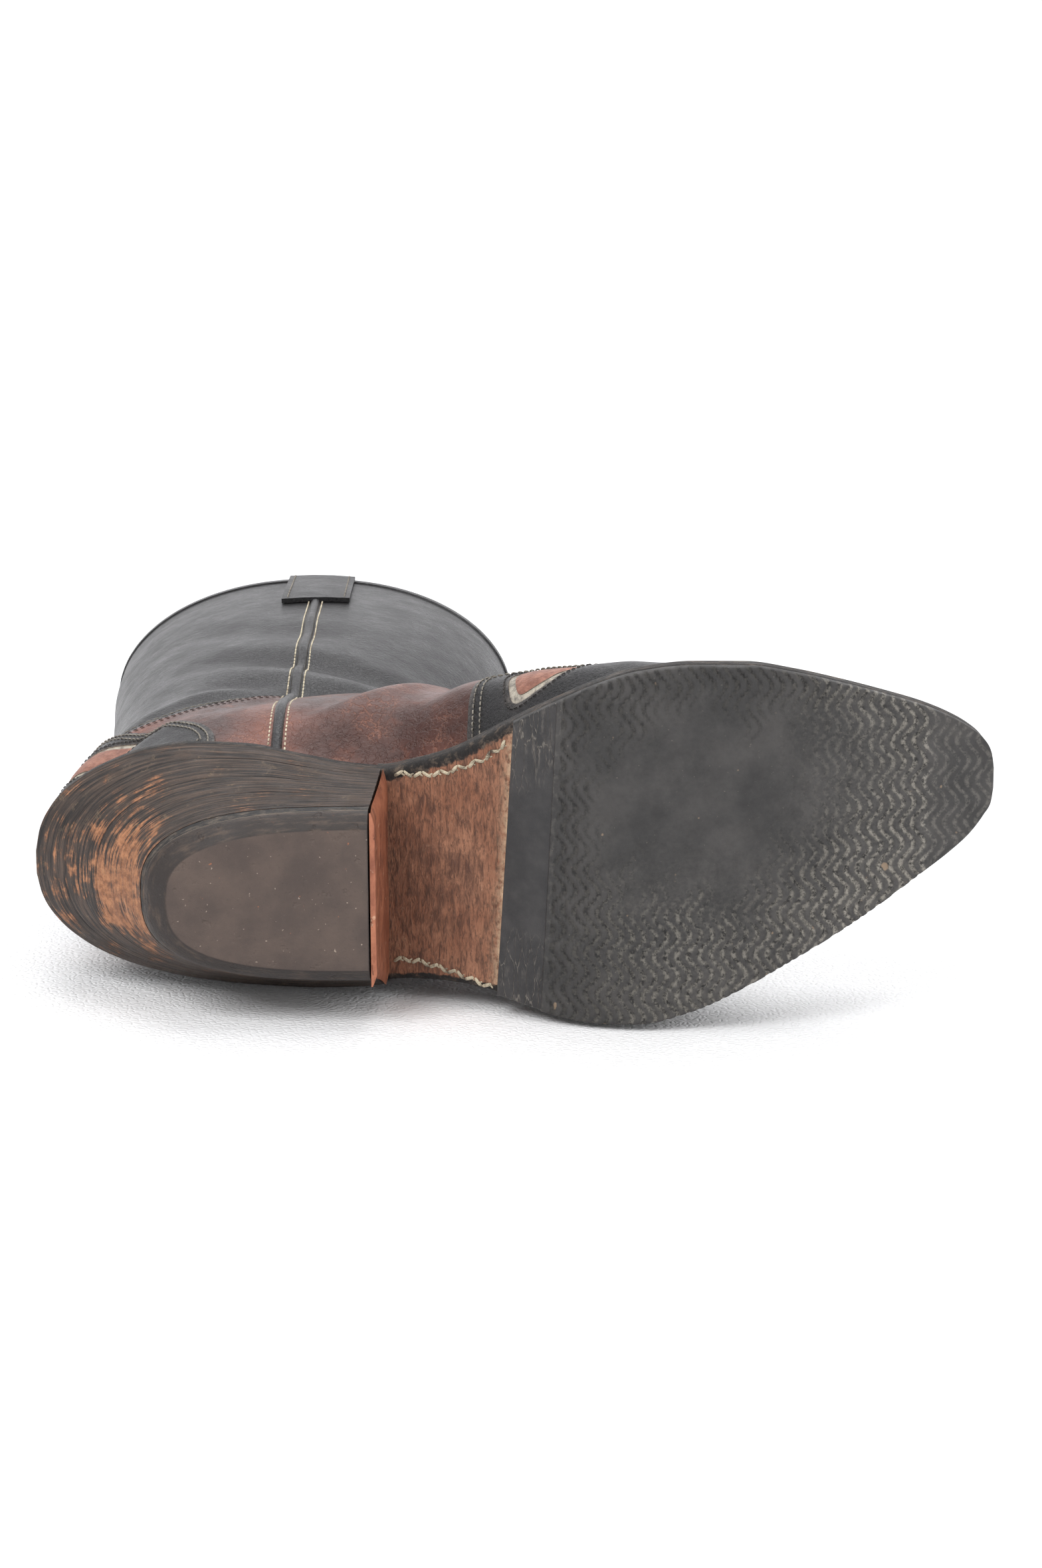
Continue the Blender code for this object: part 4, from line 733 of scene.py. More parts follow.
class Look:
    """A Principled material and short words for its nodes."""

    def __init__(self, name):
        self.material = bpy.data.materials.new(name)
        self.material.use_nodes = True
        self.tree = self.material.node_tree
        self.shader = self.tree.nodes["Principled BSDF"]
        place = self.node("ShaderNodeTexCoord").outputs["Object"]
        turn = self.node("ShaderNodeMapping")
        turn.vector_type = "POINT"
        matrix = Matrix(TURN.tolist())
        turn.inputs["Rotation"].default_value = matrix.to_euler("XYZ")
        turn.inputs["Location"].default_value = -(matrix @ Vector(ORIGIN))
        self.tree.links.new(place, turn.inputs["Vector"])
        self.place = turn.outputs["Vector"]

    def node(self, kind, **settings):
        """A node with its settings."""
        made = self.tree.nodes.new(kind)
        for key, value in settings.items():
            setattr(made, key, value)
        return made

    def put(self, socket, value):
        """Link or set an input."""
        if isinstance(value, bpy.types.NodeSocket):
            self.tree.links.new(value, socket)
        else:
            socket.default_value = value

    def scaled(self, size, stretch):
        """The boot's coordinates over a size in metres."""
        made = self.node("ShaderNodeVectorMath", operation="MULTIPLY")
        self.put(made.inputs[0], self.place)
        made.inputs[1].default_value = [1 / (size * s) for s in stretch]
        return made.outputs[0]

    def noise(self, size, detail=4.0, rough=0.55, stretch=(1, 1, 1), twist=0.0):
        """Noise from 0 to 1 whose blobs have a size in metres."""
        made = self.node("ShaderNodeTexNoise")
        self.put(made.inputs["Vector"], self.scaled(size, stretch))
        made.inputs["Scale"].default_value = 1
        made.inputs["Detail"].default_value = detail
        made.inputs["Roughness"].default_value = rough
        made.inputs["Distortion"].default_value = twist
        return made.outputs["Fac"]

    def cells(self, size, edges=False, stretch=(1, 1, 1), shake=0.0):
        """Distance to cell centres, or to cell edges."""
        made = self.node("ShaderNodeTexVoronoi")
        vector = self.scaled(size, stretch)
        if shake:
            wobble = self.node("ShaderNodeTexNoise")
            self.put(wobble.inputs["Vector"], self.scaled(size * 1.7, stretch))
            wobble.inputs["Detail"].default_value = 3
            moved = self.node("ShaderNodeVectorMath", operation="MULTIPLY_ADD")
            self.put(moved.inputs[0], wobble.outputs["Color"])
            moved.inputs[1].default_value = (shake, shake, shake)
            self.put(moved.inputs[2], vector)
            vector = moved.outputs[0]
        self.put(made.inputs["Vector"], vector)
        made.inputs["Scale"].default_value = 1
        if edges:
            made.feature = "DISTANCE_TO_EDGE"
        return made.outputs["Distance"]

    def mark(self, name):
        """A number that the mesh carries."""
        return self.node("ShaderNodeAttribute", attribute_name=name).outputs["Fac"]

    def part(self, axis):
        """One of the boot's coordinates in metres."""
        made = self.node("ShaderNodeSeparateXYZ")
        self.put(made.inputs[0], self.place)
        return made.outputs[axis]

    def math(self, operation, a, b=0.0, clamp=False):
        """Arithmetic on two numbers."""
        made = self.node("ShaderNodeMath", operation=operation, use_clamp=clamp)
        self.put(made.inputs[0], a)
        self.put(made.inputs[1], b)
        return made.outputs[0]

    def ease(self, value, low, high, to_low=0.0, to_high=1.0):
        """Smooth step from low to high."""
        made = self.node("ShaderNodeMapRange", interpolation_type="SMOOTHSTEP")
        self.put(made.inputs["Value"], value)
        for key, number in (("From Min", low), ("From Max", high), ("To Min", to_low), ("To Max", to_high)):
            made.inputs[key].default_value = number
        return made.outputs["Result"]

    def blend(self, share, a, b):
        """Mix of two colours."""
        made = self.node("ShaderNodeMix", data_type="RGBA")
        self.put(made.inputs["Factor"], share)
        self.put(made.inputs[6], a)
        self.put(made.inputs[7], b)
        return made.outputs[2]

    def bump(self, height, depth, under=None):
        """Relief of a depth in metres."""
        made = self.node("ShaderNodeBump")
        made.inputs["Distance"].default_value = depth
        self.put(made.inputs["Height"], height)
        if under is not None:
            self.put(made.inputs["Normal"], under)
        return made.outputs["Normal"]

    def done(self, colour, roughness, normal=None, **sockets):
        """Fill in the shader and return the material."""
        self.put(self.shader.inputs["Base Color"], colour)
        self.put(self.shader.inputs["Roughness"], roughness)
        if normal is not None:
            self.put(self.shader.inputs["Normal"], normal)
        for key, value in sockets.items():
            self.shader.inputs[key.replace("_", " ")].default_value = value
        return self.material


def brown_leather(name, wear=1.0):
    """Reddish pull-up leather: crackle veins, painted shade darkening the creases, and rubbed places."""
    k = Look(name)
    broad = k.noise(0.040, 3, 0.5)
    patchy = k.noise(0.009, 5, 0.65)
    colour = k.blend(k.ease(broad, 0.35, 0.70), tone(56, 28, 21), tone(102, 53, 37))
    colour = k.blend(k.ease(patchy, 0.52, 0.78, 0, 0.40), colour, tone(132, 77, 56))
    veins = k.cells(0.0042, edges=True, shake=1.1)
    fine = k.cells(0.0017, edges=True, shake=0.8)
    vein = k.math("MULTIPLY", k.ease(veins, 0.0, 0.10, 1, 0), k.ease(k.noise(0.02, 2), 0.42, 0.62))
    colour = k.blend(k.math("MULTIPLY", vein, 0.34 * wear), colour, tone(158, 104, 80))
    colour = k.blend(k.ease(fine, 0.0, 0.09, 0.28, 0), colour, tone(58, 28, 22))
    # Painted shade: the leather is darkened in the crease troughs, as if shaded there.
    crease_shade = k.mark("crease_shade")
    colour = k.blend(k.ease(crease_shade, 0.15, 0.9, 0, 0.5), colour, tone(48, 24, 20))
    rub = k.math("MULTIPLY", k.mark("edge"), k.ease(k.noise(0.003, 4, 0.7), 0.35, 0.7))
    colour = k.blend(k.math("MULTIPLY", rub, 0.6), colour, tone(150, 110, 92))
    rough = k.ease(patchy, 0.2, 0.8, 0.36, 0.52)
    normal = k.bump(k.cells(0.0009, shake=0.6), 0.00010)
    normal = k.bump(k.ease(veins, 0.0, 0.14), 0.00016, normal)
    normal = k.bump(k.noise(0.006, 4, 0.6), 0.0007, normal)
    return k.done(colour, rough, normal, Coat_Weight=0.12, Coat_Roughness=0.32, Specular_IOR_Level=0.36)


def black_leather(name, gloss=0.40, grey=0.0):
    """Black grained leather with soft sheen and pale rubbed edges."""
    k = Look(name)
    patchy = k.noise(0.012, 5, 0.6)
    colour = k.blend(k.ease(patchy, 0.4, 0.75), tone(15 + grey, 14 + grey, 16 + grey),
                     tone(30 + grey, 28 + grey, 31 + grey))
    lines = k.cells(0.0013, edges=True, shake=0.9)
    colour = k.blend(k.ease(lines, 0.0, 0.12, 0.35, 0), colour, tone(8, 7, 8))
    scuff = k.math("MULTIPLY", k.ease(k.noise(0.004, 6, 0.75, (3, 1, 1)), 0.60, 0.74), 0.30)
    colour = k.blend(scuff, colour, tone(96, 86, 82))
    rub = k.math("MULTIPLY", k.mark("edge"), k.ease(k.noise(0.0028, 4, 0.7), 0.30, 0.62))
    colour = k.blend(k.math("MULTIPLY", rub, 0.55), colour, tone(120, 112, 106))
    rough = k.ease(patchy, 0.25, 0.8, gloss - 0.06, gloss + 0.10)
    normal = k.bump(k.cells(0.0011, shake=0.7), 0.00016)
    normal = k.bump(k.ease(lines, 0.0, 0.16), 0.00012, normal)
    normal = k.bump(k.noise(0.007, 4, 0.6), 0.0008, normal)
    return k.done(colour, rough, normal, Coat_Weight=0.10, Coat_Roughness=0.28, Specular_IOR_Level=0.34)


def raw_edge(name):
    """Cut edge of leather, pale and fibrous."""
    k = Look(name)
    grain = k.noise(0.0012, 5, 0.7, (1, 1, 0.4))
    colour = k.blend(k.ease(grain, 0.3, 0.7), tone(70, 58, 52), tone(150, 138, 126))
    return k.done(colour, 0.85, k.bump(grain, 0.0002))


def lining_leather(name):
    """Smooth unfinished lining, tan, with stains."""
    k = Look(name)
    broad = k.noise(0.03, 5, 0.6)
    colour = k.blend(k.ease(broad, 0.3, 0.75), tone(176, 138, 104), tone(140, 104, 76))
    colour = k.blend(k.ease(k.noise(0.004, 4, 0.7), 0.55, 0.8, 0, 0.4), colour, tone(104, 76, 56))
    normal = k.bump(k.cells(0.0011, shake=0.7), 0.00008)
    return k.done(colour, 0.62, k.bump(k.noise(0.008, 4), 0.0005, normal))


def thread_look(name, light, dark):
    """Waxed thread: twisted, soiled here and there."""
    k = Look(name)
    soil = k.noise(0.006, 5, 0.7)
    colour = k.blend(k.ease(soil, 0.42, 0.70), light, dark)
    twist = k.node("ShaderNodeTexWave", wave_type="BANDS", bands_direction="DIAGONAL")
    k.put(twist.inputs["Vector"], k.scaled(0.0012, (1, 1, 1)))
    twist.inputs["Scale"].default_value = 1
    twist.inputs["Distortion"].default_value = 1.5
    normal = k.bump(twist.outputs["Fac"], 0.00012)
    return k.done(colour, 0.72, k.bump(k.noise(0.0007, 3), 0.00015, normal))


def sole_leather(name):
    """Tan sole leather: dark grain streaks across the shank, rubbed pale, black at the rim."""
    k = Look(name)
    broad = k.noise(0.016, 4, 0.6)
    streak = k.noise(0.0036, 6, 0.72, (0.55, 2.2, 1), 0.6)
    fine = k.noise(0.0013, 4, 0.7, (0.5, 2.4, 1), 0.8)
    colour = k.blend(k.ease(broad, 0.32, 0.70), tone(136, 91, 69), tone(162, 116, 91))
    colour = k.blend(k.ease(streak, 0.44, 0.66, 0, 0.80), colour, tone(84, 57, 46))
    colour = k.blend(k.ease(fine, 0.46, 0.64, 0, 0.65), colour, tone(58, 42, 36))
    colour = k.blend(k.ease(k.noise(0.005, 5, 0.75), 0.60, 0.76, 0, 0.5), colour, tone(196, 156, 128))
    middle = k.mark("dark")
    colour = k.blend(k.math("MULTIPLY", middle, k.ease(k.noise(0.006, 5, 0.7), 0.35, 0.62, 0, 0.75)),
                     colour, tone(84, 58, 48))
    pale = k.math("MULTIPLY", k.mark("pale"), k.ease(k.noise(0.002, 4, 0.7), 0.30, 0.60))
    colour = k.blend(pale, colour, tone(206, 176, 146))
    rim = k.ease(k.math("ADD", k.mark("rim"), k.ease(k.noise(0.003, 5, 0.7), 0.2, 0.8, -0.22, 0.22)), 0.42, 0.62)
    grey = k.blend(k.ease(k.noise(0.0026, 5, 0.75, (2.5, 1, 0.6)), 0.48, 0.68), tone(30, 27, 26), tone(88, 76, 66))
    colour = k.blend(rim, colour, grey)
    normal = k.bump(fine, 0.0004)
    normal = k.bump(streak, 0.0006, normal)
    return k.done(colour, k.ease(broad, 0.3, 0.7, 0.50, 0.66), normal, Specular_IOR_Level=0.35)


def tread_rubber(name):
    """Dark rubber with painted shade darkening the grooves, dusty in the grooves and where little worn."""
    k = Look(name)
    broad = k.noise(0.020, 5, 0.65)
    colour = k.blend(k.ease(broad, 0.35, 0.7), tone(45, 44, 44), tone(62, 60, 59))
    speck = k.ease(k.noise(0.0011, 3, 0.7), 0.66, 0.76)
    colour = k.blend(k.math("MULTIPLY", speck, 0.5), colour, tone(122, 114, 104))
    # Painted shade: the grooves are darkened, as if in shade.
    colour = k.blend(k.math("MULTIPLY", k.mark("groove"), 0.75), colour, tone(22, 21, 21))
    dust = k.math("MULTIPLY", k.mark("dust"), k.ease(k.noise(0.0014, 5, 0.75), 0.38, 0.60))
    colour = k.blend(k.math("MULTIPLY", dust, 0.80, True), colour, tone(150, 145, 136))
    rare = k.ease(k.noise(0.0045, 2, 0.5), 0.73, 0.78)
    colour = k.blend(k.math("MULTIPLY", rare, 0.6), colour, tone(150, 128, 104))
    rough = k.ease(k.noise(0.006, 4, 0.6), 0.3, 0.7, 0.52, 0.74)
    normal = k.bump(k.noise(0.0006, 3, 0.6), 0.00010)
    normal = k.bump(k.noise(0.004, 5, 0.7), 0.0002, normal)
    return k.done(colour, rough, normal, Specular_IOR_Level=0.36)


def strip_rubber(name):
    """Smooth dark strip with slanting scratches at its ends."""
    k = Look(name)
    broad = k.noise(0.010, 5, 0.6)
    colour = k.blend(k.ease(broad, 0.35, 0.7), tone(36, 35, 36), tone(52, 50, 50))
    scratch = k.cells(0.0045, edges=True, stretch=(0.55, 3.2, 1), shake=0.35)
    scratch = k.math("MULTIPLY", k.ease(scratch, 0.0, 0.035, 1, 0), k.mark("scuff"))
    colour = k.blend(k.math("MULTIPLY", scratch, 0.7), colour, tone(128, 122, 114))
    dust = k.math("MULTIPLY", k.mark("scuff"), k.ease(k.noise(0.003, 5, 0.7, (0.6, 2, 1)), 0.5, 0.7))
    colour = k.blend(k.math("MULTIPLY", dust, 0.5), colour, tone(104, 98, 92))
    normal = k.bump(k.noise(0.0009, 4, 0.6), 0.00010)
    return k.done(colour, 0.42, k.bump(scratch, 0.0002, normal), Specular_IOR_Level=0.45)


def lift_rubber(name):
    """Grey-brown top lift: fine pits, pale and rusty specks."""
    k = Look(name)
    broad = k.noise(0.018, 5, 0.6)
    colour = k.blend(k.ease(broad, 0.35, 0.68), tone(68, 57, 52), tone(84, 71, 64))
    colour = k.blend(k.ease(k.noise(0.0012, 4, 0.75), 0.55, 0.78, 0, 0.5), colour, tone(46, 38, 34))
    pale = k.ease(k.noise(0.0016, 2, 0.5), 0.70, 0.76)
    colour = k.blend(k.math("MULTIPLY", pale, 0.7), colour, tone(168, 152, 138))
    rust = k.ease(k.noise(0.0027, 2, 0.4), 0.74, 0.78)
    colour = k.blend(k.math("MULTIPLY", rust, 0.7), colour, tone(156, 96, 66))
    side = k.mark("side")
    colour = k.blend(k.ease(side, 0, 1, 0, 0.9), colour,
                     k.blend(k.ease(k.noise(0.004, 4, 0.7, (2, 2, 0.3)), 0.45, 0.75), tone(34, 28, 26),
                             tone(76, 62, 52)))
    colour = k.blend(k.ease(side, 1.3, 1.9, 0, 0.8), colour, tone(172, 154, 132))
    normal = k.bump(k.noise(0.0010, 4, 0.75), 0.00022)
    normal = k.bump(k.ease(k.noise(0.0045, 3, 0.6), 0.60, 0.75), -0.0003, normal)
    return k.done(colour, k.ease(broad, 0.3, 0.7, 0.50, 0.62), normal, Specular_IOR_Level=0.4)


def stacked_leather(name):
    """Heel stack: layers of leather under black dye, worn through to tan."""
    k = Look(name)
    run = k.node("ShaderNodeCombineXYZ")
    k.put(run.inputs[0], k.math("MULTIPLY", k.mark("around"), 55.0))
    k.put(run.inputs[1], k.math("MULTIPLY", k.mark("level"), 1500.0))
    grain = k.node("ShaderNodeTexNoise")
    k.put(grain.inputs["Vector"], run.outputs[0])
    grain.inputs["Scale"].default_value = 1
    grain.inputs["Detail"].default_value = 6
    grain.inputs["Roughness"].default_value = 0.7
    streak = grain.outputs["Fac"]
    broad = k.noise(0.011, 5, 0.68)
    colour = k.blend(k.ease(streak, 0.38, 0.66), tone(30, 26, 25), tone(84, 68, 58))
    layer = k.mark("layer")
    colour = k.blend(k.math("MULTIPLY", layer, 0.75), colour, tone(22, 19, 19))
    worn = k.math("ADD", k.mark("worn"), k.ease(broad, 0.2, 0.8, -0.42, 0.42))
    worn = k.math("ADD", worn, k.ease(streak, 0.3, 0.7, -0.25, 0.25))
    worn = k.ease(worn, 0.42, 0.72)
    tan = k.blend(k.ease(k.noise(0.0028, 5, 0.75), 0.35, 0.68), tone(122, 78, 52), tone(184, 128, 90))
    colour = k.blend(k.math("MULTIPLY", worn, 0.85), colour, tan)
    pale = k.math("MULTIPLY", k.ease(k.noise(0.005, 6, 0.8), 0.56, 0.72), 0.45)
    colour = k.blend(pale, colour, tone(136, 116, 92))
    normal = k.bump(streak, 0.0005)
    normal = k.bump(layer, -0.0003, normal)
    return k.done(colour, k.ease(broad, 0.3, 0.7, 0.48, 0.66), normal, Specular_IOR_Level=0.4)


def flap_leather(name):
    """Sole leather turned down over the breast: orange, with a dark crack."""
    k = Look(name)
    broad = k.noise(0.006, 5, 0.65, (1, 1.6, 1))
    colour = k.blend(k.ease(broad, 0.35, 0.7), tone(122, 68, 46), tone(164, 102, 74))
    crack = k.ease(k.noise(0.004, 5, 0.7, (1, 4, 0.35), 1.2), 0.58, 0.66)
    colour = k.blend(k.math("MULTIPLY", crack, 0.8), colour, tone(64, 34, 24))
    pale = k.ease(k.noise(0.003, 5, 0.75), 0.60, 0.72, 0, 0.5)
    colour = k.blend(pale, colour, tone(222, 190, 160))
    return k.done(colour, 0.6, k.bump(k.math("SUBTRACT", broad, crack), 0.0005))


def welt_look(name):
    """Black welt, dry and grey where rubbed."""
    k = Look(name)
    dry = k.noise(0.003, 6, 0.75, (1.6, 1.6, 0.6))
    colour = k.blend(k.ease(dry, 0.45, 0.72), tone(30, 28, 28), tone(96, 86, 76))
    brown = k.ease(k.noise(0.012, 4, 0.6), 0.55, 0.72, 0, 0.6)
    colour = k.blend(brown, colour, tone(96, 74, 54))
    normal = k.bump(dry, 0.0004)
    return k.done(colour, 0.62, k.bump(k.noise(0.0008, 3), 0.0001, normal), Specular_IOR_Level=0.4)


def inlay_leather(name):
    """Faded pinkish brown inlay."""
    k = Look(name)
    patchy = k.noise(0.004, 5, 0.7)
    colour = k.blend(k.ease(patchy, 0.35, 0.7), tone(112, 70, 56), tone(152, 106, 88))
    return k.done(colour, 0.55, k.bump(k.cells(0.0010, shake=0.7), 0.00012))


def inlay_border(name):
    """Whitish underlay round the inlays, greyed."""
    k = Look(name)
    patchy = k.noise(0.0022, 5, 0.75)
    colour = k.blend(k.ease(patchy, 0.35, 0.68), tone(168, 160, 146), tone(96, 90, 84))
    return k.done(colour, 0.65, k.bump(patchy, 0.0003))


# The upper's surface, with its creases

ROW_PITCH = 0.0019
SIDE_COLUMNS = 66
MARGIN_COLUMNS = 4
# Creases seen from the side: side (1 outer, -1 inner, 0 both), start, bend and end as shares of the length
# and of the collar's height, depth and width
CREASES = [
    (0, (0.545, 0.150), (0.575, 0.215), (0.560, 0.290), 0.0009, 0.0045),
    (0, (0.590, 0.130), (0.615, 0.190), (0.605, 0.250), 0.0010, 0.0042),
    (0, (0.640, 0.120), (0.655, 0.165), (0.650, 0.215), 0.0007, 0.0038),
    (-1, (0.470, 0.420), (0.330, 0.375), (0.200, 0.425), 0.0026, 0.0080),
    (-1, (0.460, 0.500), (0.300, 0.430), (0.130, 0.470), 0.0024, 0.0085),
    (-1, (0.440, 0.580), (0.280, 0.545), (0.100, 0.600), 0.0018, 0.0090),
    (-1, (0.090, 0.370), (0.200, 0.400), (0.330, 0.470), 0.0016, 0.0060),
    (1, (0.470, 0.410), (0.320, 0.370), (0.180, 0.410), 0.0022, 0.0080),
    (1, (0.455, 0.490), (0.280, 0.440), (0.110, 0.500), 0.0022, 0.0085),
    (1, (0.430, 0.610), (0.260, 0.570), (0.060, 0.640), 0.0016, 0.0095),
    (0, (0.480, 0.350), (0.440, 0.375), (0.400, 0.430), 0.0018, 0.0060),
    (0, (-0.010, 0.350), (0.060, 0.375), (0.130, 0.365), 0.0014, 0.0060),
    (-1, (0.330, 0.700), (0.220, 0.690), (0.080, 0.780), 0.0012, 0.0120),
    (1, (0.400, 0.740), (0.250, 0.730), (0.100, 0.800), 0.0012, 0.0120),
]


def arched(start, bend, end, count):
    """Points of a quadratic curve."""
    t = np.linspace(0, 1, count)[:, None]
    return (1 - t) ** 2 * np.array(start) + 2 * t * (1 - t) * np.array(bend) + t * t * np.array(end)


def crease_relief(points, side):
    """Height of the creases at points of the upper, and how deep in a trough each point is."""
    relief, trough = np.zeros(len(points)), np.zeros(len(points))
    scale = np.array([LENGTH, COLLAR_HEIGHT])
    for own, start, bend, end, depth, width in CREASES:
        line = arched(start, bend, end, 15) * scale
        flat = points[:, [0, 2]]
        best = np.full(len(points), 1.0)
        signed, share = np.zeros(len(points)), np.zeros(len(points))
        for i, (a, b) in enumerate(zip(line, line[1:])):
            step = b - a
            t = np.clip((flat - a) @ step / (step @ step), 0, 1)
            gap = flat - a - t[:, None] * step
            far = np.hypot(gap[:, 0], gap[:, 1])
            near = far < best
            best = np.where(near, far, best)
            signed = np.where(near, far * np.sign(step[0] * gap[:, 1] - step[1] * gap[:, 0]), signed)
            share = np.where(near, (i + t) / (len(line) - 1), share)
        taper = np.sin(math.pi * np.clip(share, 0, 1)) ** 0.7
        taper = taper * (1 if own == 0 else np.clip(own * side, 0, 1))
        trench = np.exp(-(best / width) ** 2)
        ridges = 0.55 * np.exp(-((signed - 1.7 * width) / width) ** 2)
        ridges = ridges + 0.40 * np.exp(-((signed + 1.7 * width) / width) ** 2)
        relief += depth * taper * (ridges - trench)
        trough += taper * trench * depth / 0.0024
    return relief, np.clip(trough, 0, 1)


def fine_numbers():
    """Section numbers about a pitch apart along the surface."""
    coarse = np.arange(0, TOP + 1e-9, 0.5)
    ends = []
    for k in coarse:
        ring = Section(k)
        ends.append((ring.low, ring.low + ring.along * ring.span))
    numbers = [coarse[0]]
    for i in range(len(coarse) - 1):
        gap = max(np.linalg.norm(ends[i + 1][j] - ends[i][j]) for j in (0, 1))
        count = max(1, math.ceil(gap / ROW_PITCH))
        numbers += list(np.linspace(coarse[i], coarse[i + 1], count + 1)[1:])
    return np.array(numbers)


def fine_ring(k):
    """Dense ring of the upper at a section."""
    ring = Section(k)
    sides = []
    for side in (1, -1):
        corner = ring.corner(side)
        margin = max(corner - LASTING_MARGIN, 0.3 * corner)
        arcs = np.concatenate([np.linspace(margin, corner, MARGIN_COLUMNS + 1)[:-1],
                               np.linspace(corner, ring.arc[side][-1], SIDE_COLUMNS)])
        sides.append(ring.at(side, arcs))
    return np.vstack([sides[0], sides[1][::-1][1:]])


class Skin:
    """The upper's outer surface: points, outward normals, triangles and what is known at each point."""

    def __init__(self):
        numbers = fine_numbers()
        rings = [fine_ring(k) for k in numbers]
        columns = len(rings[0])
        tip = np.repeat(rings[0].mean(axis=0)[None], columns, axis=0)
        grid = np.stack([tip] + rings)
        self.rows, self.columns = grid.shape[:2]
        self.number = np.repeat(np.concatenate([[0], numbers]), columns)
        middle = columns // 2
        toward = (middle - np.arange(columns)) / 8.0
        self.side = np.tile(np.clip(toward, -1, 1), self.rows)
        normals = self.normals_of(grid)
        flat = grid.reshape(-1, 3)
        relief, self.trough = crease_relief(flat, self.side)
        clear = np.clip((flat[:, 2] - sole_top(flat[:, 0]) - 0.004) / 0.010, 0, 1)
        self.trough = self.trough * clear
        grid = grid + normals * (relief * clear).reshape(grid.shape[:2])[:, :, None]
        self.points = grid.reshape(-1, 3)
        self.normals = self.normals_of(grid).reshape(-1, 3)
        faces = quads(self.rows, columns, closed=True)
        k = np.repeat(np.concatenate([[0], numbers])[:-1], columns)
        gap = np.tile(np.arange(columns) == columns - 1, self.rows - 1)
        faces = faces[~(gap & (k >= HOLE_FIRST) & (k < HOLE_LAST))]
        triangles = halves(faces)
        corner = self.points[triangles]
        area = np.linalg.norm(np.cross(corner[:, 1] - corner[:, 0], corner[:, 2] - corner[:, 0]), axis=1)
        self.triangles = triangles[area > 1e-12]
        self.x, self.z = self.points[:, 0], self.points[:, 2]
        self.rise = self.z - sole_top(self.x)

    def normals_of(self, grid):
        """Outward unit normals of the grid."""
        along, around = np.gradient(grid, axis=0), np.gradient(grid, axis=1)
        found = np.cross(along, around)
        found[0] = grid[0] - grid[2].mean(axis=0)
        found /= np.maximum(np.linalg.norm(found, axis=2), 1e-12)[:, :, None]
        outward = grid[1:] - grid[1:].mean(axis=1)[:, None]
        if np.sum(found[1:] * outward) < 0:
            found[1:] = -found[1:]
        return found


def outline_distance(outline, x, z):
    """Distance to a closed outline seen from the side, negative inside it."""
    p = np.asarray(outline, float)
    best, inside = np.full(len(x), 1.0), np.zeros(len(x), bool)
    for (ax, az), (bx, bz) in zip(p, np.roll(p, -1, axis=0)):
        ex, ez = bx - ax, bz - az
        length = ex * ex + ez * ez
        if length < 1e-14:
            continue
        t = np.clip(((x - ax) * ex + (z - az) * ez) / length, 0, 1)
        best = np.minimum(best, (x - ax - t * ex) ** 2 + (z - az - t * ez) ** 2)
        if abs(ez) > 1e-12:
            inside ^= ((az > z) != (bz > z)) & (x < ex * (z - az) / ez + ax)
    return np.where(inside, -1, 1) * np.sqrt(best)


def flowing(points, per=8, closed=False):
    """Smooth curve through points seen from the side."""
    p = np.asarray(points, float)
    n = len(p)
    made = []
    for i in range(n if closed else n - 1):
        a, b, c, d = (p[(i + j) % n] if closed else p[min(max(i + j, 0), n - 1)] for j in (-1, 0, 1, 2))
        for t in np.arange(per) / per:
            made.append(0.5 * (2 * b + (c - a) * t + (2 * a - 5 * b + 4 * c - d) * t * t
                               + (3 * b - a - 3 * c + d) * t ** 3))
    if not closed:
        made.append(p[-1])
    return np.array(made)


# Seams seen from the side: the vamp's upper line, and the two inlays as (place, height over the sole)
VAMP_LINE = [(-0.060, 0.101), (-0.010, 0.102), (0.020, 0.103), (0.040, 0.109), (0.060, 0.120), (0.078, 0.126),
             (0.094, 0.124), (0.108, 0.126), (0.120, 0.136), (0.130, 0.152), (0.138, 0.170), (0.160, 0.190)]
WING_INLAY = [(0.1495, 0.0130), (0.1480, 0.0225), (0.1505, 0.0310), (0.1560, 0.0338), (0.1625, 0.0305),
              (0.1715, 0.0258), (0.1645, 0.0180), (0.1570, 0.0138)]
COUNTER_INLAY = [(0.0360, 0.0245), (0.0270, 0.0330), (0.0160, 0.0400), (0.0060, 0.0420), (0.0030, 0.0350),
                 (0.0080, 0.0270), (0.0190, 0.0225)]
INLAY_BORDER = 0.0021
FAR = 0.5

skin = Skin()


def over_sole(points):
    """Side-view points given over the sole's top face."""
    return [(x, float(sole_top(x)) + rise) for x, rise in points]


vamp_outline = list(flowing(VAMP_LINE)) + [(FAR, 0.190), (FAR, -FAR), (-FAR, -FAR), (-FAR, 0.101)]
vamp_field = outline_distance(vamp_outline, skin.x, skin.z)
wing_edge = flowing([(x, float(sole_top(x)) + rise) for x, rise in WINGTIP_EDGE])
foot_line = [(x, float(sole_top(x)) + 0.0004) for x in np.linspace(WINGTIP_EDGE[0][0], LENGTH, 60)]
wing_outline = foot_line + [(FAR, 0.02), (FAR, FAR)] + list(wing_edge[::-1])
wing_field = outline_distance(wing_outline, skin.x, skin.z)
counter_edge = flowing([(x, SEAT_TOP + rise) for x, rise in COUNTER_EDGE])
seat_line = [(x, float(sole_top(x)) + 0.0004) for x in np.linspace(COUNTER_EDGE[0][0], -HEEL_OVERHANG, 30)]
counter_field = outline_distance(seat_line + list(counter_edge[::-1]), skin.x, skin.z)
wing_inlay = outline_distance(flowing(over_sole(WING_INLAY), closed=True), skin.x, skin.z)
counter_inlay = outline_distance(flowing([(x, SEAT_TOP + rise) for x, rise in COUNTER_INLAY], closed=True),
                                 skin.x, skin.z)


